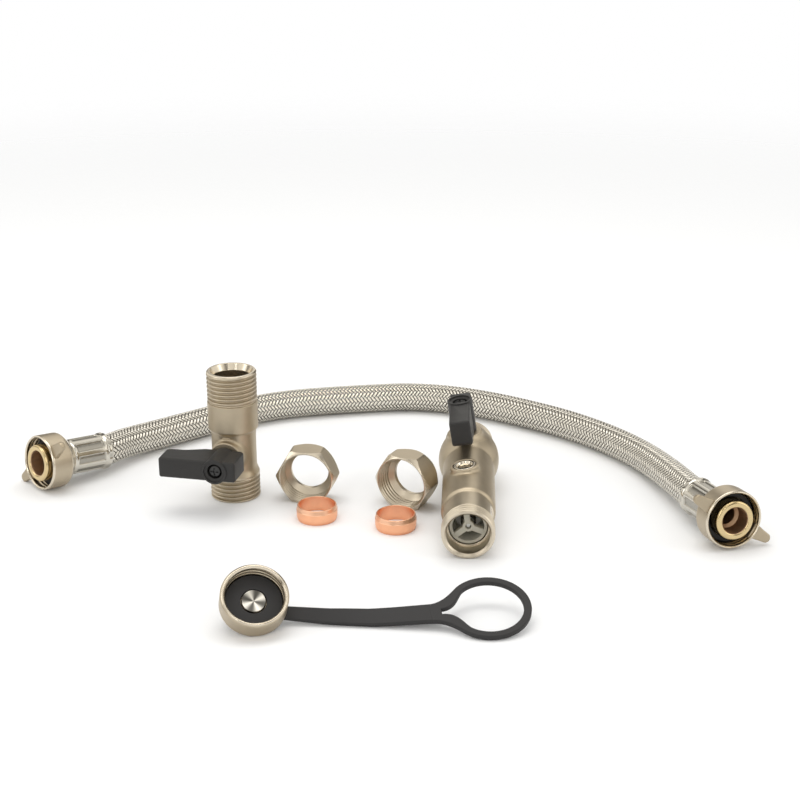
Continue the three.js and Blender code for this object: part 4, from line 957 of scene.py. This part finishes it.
def screw_surface():
    """Pan-head screw with a cross recess, in the lever's frame."""
    head = turned([(0, -SCREW_SEAT), (SCREW_R, -SCREW_SEAT), (SCREW_R, -1.4, 0.3),
                   (2.2, -0.55, 0.5), (0, -0.4)], 64, closed=False)
    screw = cross_cut(close_poles(head), 1.7, 0.35, 0, 0.03)
    screw["shine"][:] = 0.3
    return screw


def add_lever(context, prefix, place, boss_reach, spindle, paddle):
    """Lever and its screw on a valve; paddle is the direction of the paddle in the valve's frame."""
    seat = shifted(place, y=-(boss_reach + GAP + HUB_DEPTH), z=spindle)
    seat = basis(seat[:3, 3] * MM, -place[:3, 1], x=place[:3, :3] @ np.array(paddle, float))
    body = f"{prefix}_lever_body"
    lever = lever_surface(context.scene.filling_valves)
    add_piece(f"{prefix}_lever", lever, seat, body, sharp=28)
    add_piece(f"{prefix}_lever_screw", screw_surface(), seat, body)


class FILLING_OT_isolating_valve(bpy.types.Operator):
    """Builds the isolating valve that stands on end, with its lever and screw"""
    bl_idname = "filling.isolating_valve"
    bl_label = "Isolating valve"

    def execute(self, context):
        place = isolating_frame()
        top = ISO_LENGTH
        lower, upper = (0.9, 10.2), (top - 11.8, top - 0.8)
        groove = [(THREAD_R, 42.6), (THREAD_R - 0.75, 42.8), (THREAD_R - 0.75, 43.3),
                  (THREAD_R - 0.1, 43.8)]
        profile = [
            (THREAD_R - THREAD_CHAMFER, 0), (THREAD_R, 0.6), (THREAD_R, 10.9, 0.4),
            (ISO_WAIST_R, 13.5, 1.2), (ISO_WAIST_R, 28, 1.4), (THREAD_R - 0.8, 30.2, 0.6),
            (THREAD_R, 31, 0.5), *groove, (THREAD_R, top - 0.6),
            (THREAD_R - THREAD_CHAMFER, top, 0.1), (SOCKET_R + SOCKET_CHAMFER, top, 0.1),
            (SOCKET_R, top - SOCKET_CONE), (SOCKET_R, 34.5), (7.2, 34.5), (7.2, 13.5), (4.2, 13.5),
            (4.2, 10.6), (SOCKET_R, 10.6), (SOCKET_R, SOCKET_CONE), (SOCKET_R + SOCKET_CHAMFER, 0)]

        def machined(r, z):
            """How bright the body is: most in its bores, a little on its threads."""
            threads = np.where((z > 42.7) | (z < 11.2), 0.35, 0.08)
            return np.where((r < 9.2) | (z > top - 0.5), 0.85, threads)

        def waist(z):
            """Radius of the body that the boss flares into."""
            return np.where((z < 13.0) | (z > 28.8), THREAD_R - 0.6, ISO_WAIST_R)

        body = turned(profile, 160, thread([lower, upper], radius=THREAD_R), [lower, upper], machined)
        stub = boss(7.0, ISO_BOSS_REACH, ISO_SPINDLE, waist)
        add_piece("isolating_valve_body", merged([body, stub]), place)
        retainer = turned([(4.2, 28.1), (6.9, 28.1), (6.9, 33.6), (4.2, 33.6)], 64, shine=0.5)
        add_piece("isolating_retainer", retainer, place)
        add_lever(context, "isolating", place, ISO_BOSS_REACH, ISO_SPINDLE, (-1, 0, 0))
        return {"FINISHED"}


def housing(z):
    """Radius of the barrel round the ball: an arc that runs into the tube in front of it."""
    arc = np.sqrt(np.maximum(HOUSING_ARC ** 2 - (z - CHECK_SPINDLE) ** 2, 0))
    return np.maximum(arc - HOUSING_ARC + HOUSING_R, CHECK_TUBE_R)


class FILLING_OT_check_valve(bpy.types.Operator):
    """Builds the lying double check valve: body, end adaptor, test plug, cage, lever and screw"""
    bl_idname = "filling.check_valve"
    bl_label = "Double check valve"

    def execute(self, context):
        place = check_frame()
        zone, flats = (0.8, 5.6), (8.4, 17.4)
        flat_at = 9.5
        start = CHECK_SPINDLE - math.sqrt(HOUSING_ARC ** 2
                                          - (HOUSING_ARC - HOUSING_R + CHECK_TUBE_R) ** 2)
        barrel = [(float(housing(z)), float(z), 0.6)
                  for z in np.linspace(start, CHECK_BODY_END - 1, 12)]
        profile = [
            (THREAD_R - THREAD_CHAMFER, 0, 0.12), (THREAD_R, 0.6), (THREAD_R, 6.3, 0.3),
            (9.85, 6.5, 0.15), (9.85, 7.0, 0.15), (CHECK_COLLAR_R, 7.2, 0.2),
            (CHECK_COLLAR_R, 18.5, 0.5), (CHECK_TUBE_R, 19.7, 0.7), *barrel,
            (float(housing(CHECK_BODY_END)) - 0.8, CHECK_BODY_END, 0.4), (9.2, CHECK_BODY_END),
            (9.2, 63.2), (4.8, 63.2), (4.8, 60.3), (7.75, 60.3), (7.75, 7), (8.4, 7), (8.4, 0.8),
            (9.2, 0, 0.1)]

        def relief(r, z, a):
            """Thread at the mouth, and two flats where the collar is cut at x = 9.5 mm."""
            flat = flat_at / np.maximum(np.abs(np.cos(a)), 1e-3)
            inside = (z > flats[0]) & (z < flats[1]) & (r > 9)
            return (thread([zone], radius=THREAD_R)(r, z, a)
                    + np.where(inside, np.minimum(flat - r, 0), 0))

        def machined(r, z):
            """How bright the body is: most at the mouth and in its bores, a little on its collar."""
            collar = np.where((z < 18.4) & (z > 7.5), 0.25, 0.05)
            return np.where((z < 6.6) | (r < 9.25), 0.65, collar)

        body = turned(profile, 160, relief, [zone, (8.0, 17.8)], machined)
        x, z = np.abs(body["co"][:, 0]), body["co"][:, 2]
        body["shine"][(x > flat_at - 0.2) & (z > 8.3) & (z < 17.5)] = 0.9
        stub = boss(7.5, CHECK_BOSS_REACH, CHECK_SPINDLE, housing, fillet=1.8)
        test_stub = boss(6.0, TEST_REACH, TEST_AT, lambda z: np.full_like(z, CHECK_TUBE_R),
                         fillet=1.0, hole=4.8)
        add_piece("check_valve_body", merged([body, stub, test_stub]), place)
        end = CHECK_LENGTH
        tail_zone = (end - 5.4, end - 1.0)
        adaptor = turned([
            (4.8, 79.8), (8.9, 79.8), (8.9, 82.3), (10.88, 82.3, 0.3), (10.88, 83.7, 0.3),
            (THREAD_R, 84.1), (THREAD_R, end - 0.6), (THREAD_R - THREAD_CHAMFER, end, 0.1),
            (SOCKET_R + SOCKET_CHAMFER, end, 0.1), (SOCKET_R, end - SOCKET_CONE), (SOCKET_R, 82.5),
            (4.8, 82.5)], 160, thread([tail_zone], radius=THREAD_R), [tail_zone], 0.6)
        add_piece("check_end_adaptor", adaptor, place)
        boss_axis = basis(shifted(place, z=TEST_AT)[:3, 3] * MM, -place[:3, 1], x=place[:3, 0])
        plug = turned([(0, 10.0), (4.5, 10.0), (4.5, 11.9, 0.25), (3.5, 12.0, 0.15),
                       (2.9, 11.0, 0.2), (0, 10.9)], 72, closed=False)
        plug = cross_cut(close_poles(plug), 2.6, 0.55, 11.4, 0.05, turns=(0.0,))
        plug["shine"][:] = 0.8
        add_piece("test_plug", plug, boss_axis)
        add_piece("front_check_cage", cage_surface(), shifted(place, z=7.3))
        add_lever(context, "check", place, CHECK_BOSS_REACH, CHECK_SPINDLE, (0, 0, -1))
        return {"FINISHED"}


def cage_surface():
    """Check cage: a ring, three spokes to a hub with a hole, and a lip at the back."""
    outer, inner, length = 7.45, 6.2, 14
    ring = turned([(inner, 0, 0.3), (outer, 0, 0.3), (outer, 6), (6.55, 6), (6.55, 8.6),
                   (outer, 8.6), (outer, length), (4.3, length), (4.3, 11.3), (inner, 11.3)], 96)
    hub = turned([(1.15, 0.0), (2.3, 0.0, 0.3), (2.3, 2.4), (1.15, 2.4)], 48)
    bar = slab([(-1.2, 1.9), (1.2, 1.9), (1.2, 6.5), (-1.2, 6.5)], 2.4, 0.3)
    spokes = [onto(bar, shifted(spun(math.pi + TAU * i / 3), z=1.2)) for i in range(3)]
    return merged([ring, hub, *spokes])


def compression_nut(flats):
    """Hexagon of radius (flats / 2) / cos(angle from the nearest flat), with its corners turned off
    by a cone at each end and a threaded bore, on rings that run through the bore and back outside."""
    angle = np.arange(240) * TAU / 240
    from_flat = (angle % (TAU / 6)) - TAU / 12
    hexagon = np.minimum(flats / 2 / np.cos(from_flat), flats / math.sqrt(3) - 0.22)
    crown, top, bore_r = flats / 2 - 0.25, 5.8, CAP_FEMALE_R
    outline = [(11.0, top, 0.1), (bore_r, 5.2), (bore_r, -2.2), (8.0, -3.8, 0.15), (8.0, -5.5),
               (8.3, -top, 0.1)]
    zone = (-2.0, 4.9)
    bore = refined(soften(outline, closed=False), zone, closed=False)
    r, z = bore[:, :1], bore[:, 1:]
    r = r + thread([zone], True, bore_r, 0.62)(r, z + 0 * angle, angle[None])
    rings = [np.stack([r * np.cos(angle), r * np.sin(angle), z + 0 * angle], -1)]
    bright = [0.5] * len(bore)
    inner = np.minimum(hexagon, crown)
    for sign, slope in ((-1, 1.7), (1, 0.9)):
        drop = np.maximum(hexagon - crown, 0) * slope
        rows = [(inner - 0.4, top, 0.7), (inner, top, 0.7), (inner + 0.06, top - 0.03, 0.8),
                ((inner + hexagon) / 2, top - drop / 2, 0.8), (hexagon, top - drop, 0.8),
                (hexagon, top - drop - 0.12, 0.15), (hexagon, top - drop - 0.5, 0.1)]
        for radius, height, machined in rows[::-sign]:
            rings.append(np.stack([radius * np.cos(angle), radius * np.sin(angle),
                                   sign * height * np.ones_like(angle)], -1)[None])
            bright.append(machined)
    return outward(skin(np.concatenate(rings), shine=np.array(bright)))


class FILLING_OT_nuts(bpy.types.Operator):
    """Builds the two compression nuts: six flats under a turned cone, threaded inside"""
    bl_idname = "filling.nuts"
    bl_label = "Compression nuts"

    def execute(self, context):
        nut = compression_nut(context.scene.filling_loose.flats / MM)
        mounts = {mount["name"]: mount for mount in frame["record"]["mounts"]}
        for i in (1, 2):
            name = f"compression_nut_{i}"
            axis = mounts[f"{name}_front_face"]["axis"]
            middle = np.mean(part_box(name), axis=0)
            place = basis(middle, axis, x=np.cross((0, 0, 1), axis))
            add_piece(name, nut, place, sharp=24)
        return {"FINISHED"}


class FILLING_OT_olives(bpy.types.Operator):
    """Builds the two copper olives: barrel-shaped rings with a ridge"""
    bl_idname = "filling.olives"
    bl_label = "Olives"

    def execute(self, context):
        height = context.scene.filling_loose.olive_height / MM
        ridge, bore = height * 0.72, 7.55
        olive = turned([(bore, 0, 0.15), (7.9, 0, 0.3), (8.35, 1.3, 0.8), (8.42, ridge - 0.5, 0.4),
                        (8.45, ridge, 0.12), (8.3, ridge + 0.12, 0.06), (8.0, height, 0.2),
                        (bore, height, 0.12)], 128,
                       shine=lambda r, z: np.where(z > ridge - 0.2, 0.8, 0.2))
        for i in (1, 2):
            low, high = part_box(f"olive_{i}")
            place = basis(((low[0] + high[0]) / 2, (low[1] + high[1]) / 2, low[2]), (0, 0, 1),
                          x=(1, 0, 0))
            add_piece(f"olive_{i}", olive, place)
        return {"FINISHED"}


def rivet_with_painted_highlight():
    """Turned face of the rivet: fine rings, and a painted highlight: four bright sectors in its colour that fan
    out from the middle like reflections of lights.
    """
    material, tree, shader = blank("Turned rivet with painted highlight")
    tangent = link(tree, "ShaderNodeTangent", direction_type="UV_MAP", uv_map="UVMap").outputs[0]
    round_, along = uv_of(tree)
    # Painted highlight: the base colour is bright in four sectors round the middle and dark between them, an X
    # that stands in for lights mirrored in the turned face
    painted_highlight = calc(tree, "SINE", calc(tree, "MULTIPLY_ADD", round_, 2 * TAU, 0.9))
    painted_highlight = calc(tree, "POWER", calc(tree, "ABSOLUTE", painted_highlight), 3.0)
    rings = calc(tree, "SINE", calc(tree, "MULTIPLY", along, 420.0))
    feed(tree, shader, {
        "Base Color": mix(tree, painted_highlight, (0.10, 0.095, 0.085, 1), (0.80, 0.77, 0.70, 1)),
        "Metallic": 1.0, "Roughness": 0.3, "Anisotropic": 0.95, "Tangent": tangent,
        "Normal": bumped(tree, rings, 0.15, 0.00005)})
    return material


class FILLING_OT_cap(bpy.types.Operator):
    """Builds the blanking cap with its washer and rivet"""
    bl_idname = "filling.cap"
    bl_label = "Blanking cap"

    def execute(self, context):
        place = cap_frame()
        zone = (3.2, 7.3)
        outer, floor, rim, bore = 12.1, 1.4, 8.3, CAP_FEMALE_R
        shell = turned([
            (CAP_HOLE_R, 0), (outer, 0, 0.5), (outer, rim - 0.7, 0.25), (11.4, rim, 0.2),
            (11.0, rim, 0.1), (bore, rim - 0.7), (bore, floor), (CAP_HOLE_R, floor)], 160,
            thread([zone], True, bore, 0.4), [zone],
            lambda r, z: np.where((r < 11.2) & (z > 2.2) | (z > 8.0), 0.85, 0.12))
        add_piece("cap_shell", shell, place, "cap_body")
        low, high = floor + GAP, floor + GAP + 1.2
        washer = turned([(4.6, low), (10.2, low), (10.2, high, 0.3), (4.6, high, 0.2)], 96)
        add_piece("cap_washer", washer, place, "cap_body")
        foot_r, shank_r, head_r = 4.5, CAP_HOLE_R - GAP, 4.3
        foot, seat = -5.8, -context.scene.filling_cap.thickness / MM - 2 * GAP
        rivet = turned([(0, foot), (foot_r, foot, 0.3), (foot_r, seat, 0.2), (shank_r, seat),
                        (shank_r, low), (head_r, low), (head_r, 3.0, 0.2), (4.1, 3.25, 0.1),
                        (0.6, 2.95, 0.3), (0, 2.95)], 96, closed=False)
        add_piece("cap_rivet", rivet, place, "cap_body", rivet_with_painted_highlight())
        return {"FINISHED"}


def ring_with_arms(radius, reach, half, pull=6.0, steps=14, sides=72):
    """Counterclockwise outline of a ring whose two sides run out to a neck, each along a cubic
    curve through p0 and p3 with p1 and p2 as its handles."""
    def on_ring(t):
        return np.array([radius * math.cos(t), radius * math.sin(t)])

    tangent = np.array([math.sin(LOOP_SHOULDER), -math.cos(LOOP_SHOULDER)])
    p0, p3 = np.array([-reach, half]), on_ring(LOOP_SHOULDER)
    p1, p2 = p0 + (pull, 0), p3 - tangent * pull / 2
    t = np.linspace(0, 1, steps + 1)[:, None]
    arm = (1 - t) ** 3 * p0 + 3 * (1 - t) ** 2 * t * p1 + 3 * (1 - t) * t * t * p2 + t ** 3 * p3
    arc = [on_ring(a) for a in np.linspace(LOOP_SHOULDER, -LOOP_SHOULDER, sides + 1)[1:-1]]
    return np.concatenate([arm, arc, (arm * (1, -1))[::-1]])[::-1]


class FILLING_OT_strap(bpy.types.Operator):
    """Builds the rubber strap: eyelet on the rivet, widening band and round loop"""
    bl_idname = "filling.strap"
    bl_label = "Strap"

    def execute(self, context):
        size = context.scene.filling_cap
        radius, thick = size.loop / MM / 2, size.thickness / MM
        half = thick / 2
        under = -GAP - thick
        cap = cap_frame()
        eyelet = turned([(CAP_HOLE_R, under), (6, under, 0.35), (6, -GAP, 0.35),
                         (CAP_HOLE_R, -GAP)], 96)
        lift = radius * math.sin(LOOP_TILT) + half * math.cos(LOOP_TILT) + 0.05
        loop = np.array(Matrix.Rotation(LOOP_TILT, 4, "X") @ Matrix.Rotation(LOOP_TURN, 4, "Z"))
        loop[:3, 3] = (*LOOP_PLACE, lift)
        outer = ring_with_arms(radius, LOOP_NECK, STRAP_WIDE / 2)
        inner = ring_with_arms(radius - LOOP_BAND, LOOP_NOTCH, 1.2)
        plate = slab(outer, thick, STRAP_BEVEL, holes=[inner])

        # The band's section, a rounded rectangle, is carried along a line and turns with it from the
        # cap's frame to the loop's
        start, leave = (shifted(cap, *place, under + half)[:3, 3]
                        for place in (STRAP_ROOT, STRAP_LEAVE))
        end = shifted(loop, -LOOP_NECK + 1.2)[:3, 3]
        middle = (leave + end) / 2 - (0, 0, 1.6)
        line, _ = evenly(centripetal([start, leave, middle, end]), 60)
        begin, finish_turn = (Matrix(m[:3, :3].tolist()).to_quaternion() for m in (cap, loop))
        rings = []
        for i, centre in enumerate(line):
            t = i / (len(line) - 1)
            turn = np.array(begin.slerp(finish_turn, float(smooth(0.2, 1, t))).to_matrix())
            width = STRAP_NARROW + (STRAP_WIDE - STRAP_NARROW) * t
            w = width / 2
            across, through = turn[:, 1], turn[:, 2]
            centre = centre.copy()
            centre[2] = max(centre[2], abs(across[2]) * w + through[2] * half + 0.05)
            section = rounded_outline([(-w, -half), (w, -half), (w, half), (-w, half)], STRAP_BEVEL)
            rings.append(centre + section[:, :1] * across + section[:, 1:] * through)
        band = outward(skin(np.stack(rings), wrap_rows=False))
        whole = merged([onto(eyelet, cap), band, onto(plate, loop)])
        add_piece("cap_strap", whole)
        return {"FINISHED"}


class FILLING_OT_inner(bpy.types.Operator):
    """Gives the CAD nodes that still show inside the valves their finishes"""
    bl_idname = "filling.inner"
    bl_label = "Inner pieces"

    def execute(self, context):
        for name, node in frame["nodes"].items():
            node.data.materials.clear()
            node.data.materials.append(finish(SLOTS[name]))
        return {"FINISHED"}


OPERATORS = (FILLING_OT_stage, FILLING_OT_hose, FILLING_OT_ends, FILLING_OT_isolating_valve,
             FILLING_OT_check_valve, FILLING_OT_nuts, FILLING_OT_olives, FILLING_OT_cap,
             FILLING_OT_strap, FILLING_OT_inner)


class FILLING_PT_panel(bpy.types.Panel):
    bl_idname = "FILLING_PT_panel"
    bl_label = "Filling Loop"
    bl_space_type = "VIEW_3D"
    bl_region_type = "UI"
    bl_category = "Filling Loop"

    def draw(self, context):
        for name, group in GROUPS.items():
            box = self.layout.box()
            for key in group.__annotations__:
                box.prop(getattr(context.scene, name), key)
        for operator in OPERATORS:
            self.layout.operator(operator.bl_idname)


CLASSES = (*GROUPS.values(), *OPERATORS, FILLING_PT_panel)


def register():
    """Makes the classes known and hangs the property groups on the scene."""
    for item in CLASSES:
        bpy.utils.register_class(item)
    for name, group in GROUPS.items():
        setattr(bpy.types.Scene, name, PointerProperty(type=group))


def unregister():
    """Takes the property groups and the classes away again."""
    for name in GROUPS:
        delattr(bpy.types.Scene, name)
    for item in reversed(CLASSES):
        bpy.utils.unregister_class(item)


def main():
    """Registers the classes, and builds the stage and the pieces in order."""
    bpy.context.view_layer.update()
    register()
    bpy.ops.filling.stage()
    bpy.ops.filling.ends()
    bpy.ops.filling.hose()
    bpy.ops.filling.isolating_valve()
    bpy.ops.filling.check_valve()
    bpy.ops.filling.nuts()
    bpy.ops.filling.olives()
    bpy.ops.filling.cap()
    bpy.ops.filling.strap()
    bpy.ops.filling.inner()


if __name__ == "__main__":
    main()
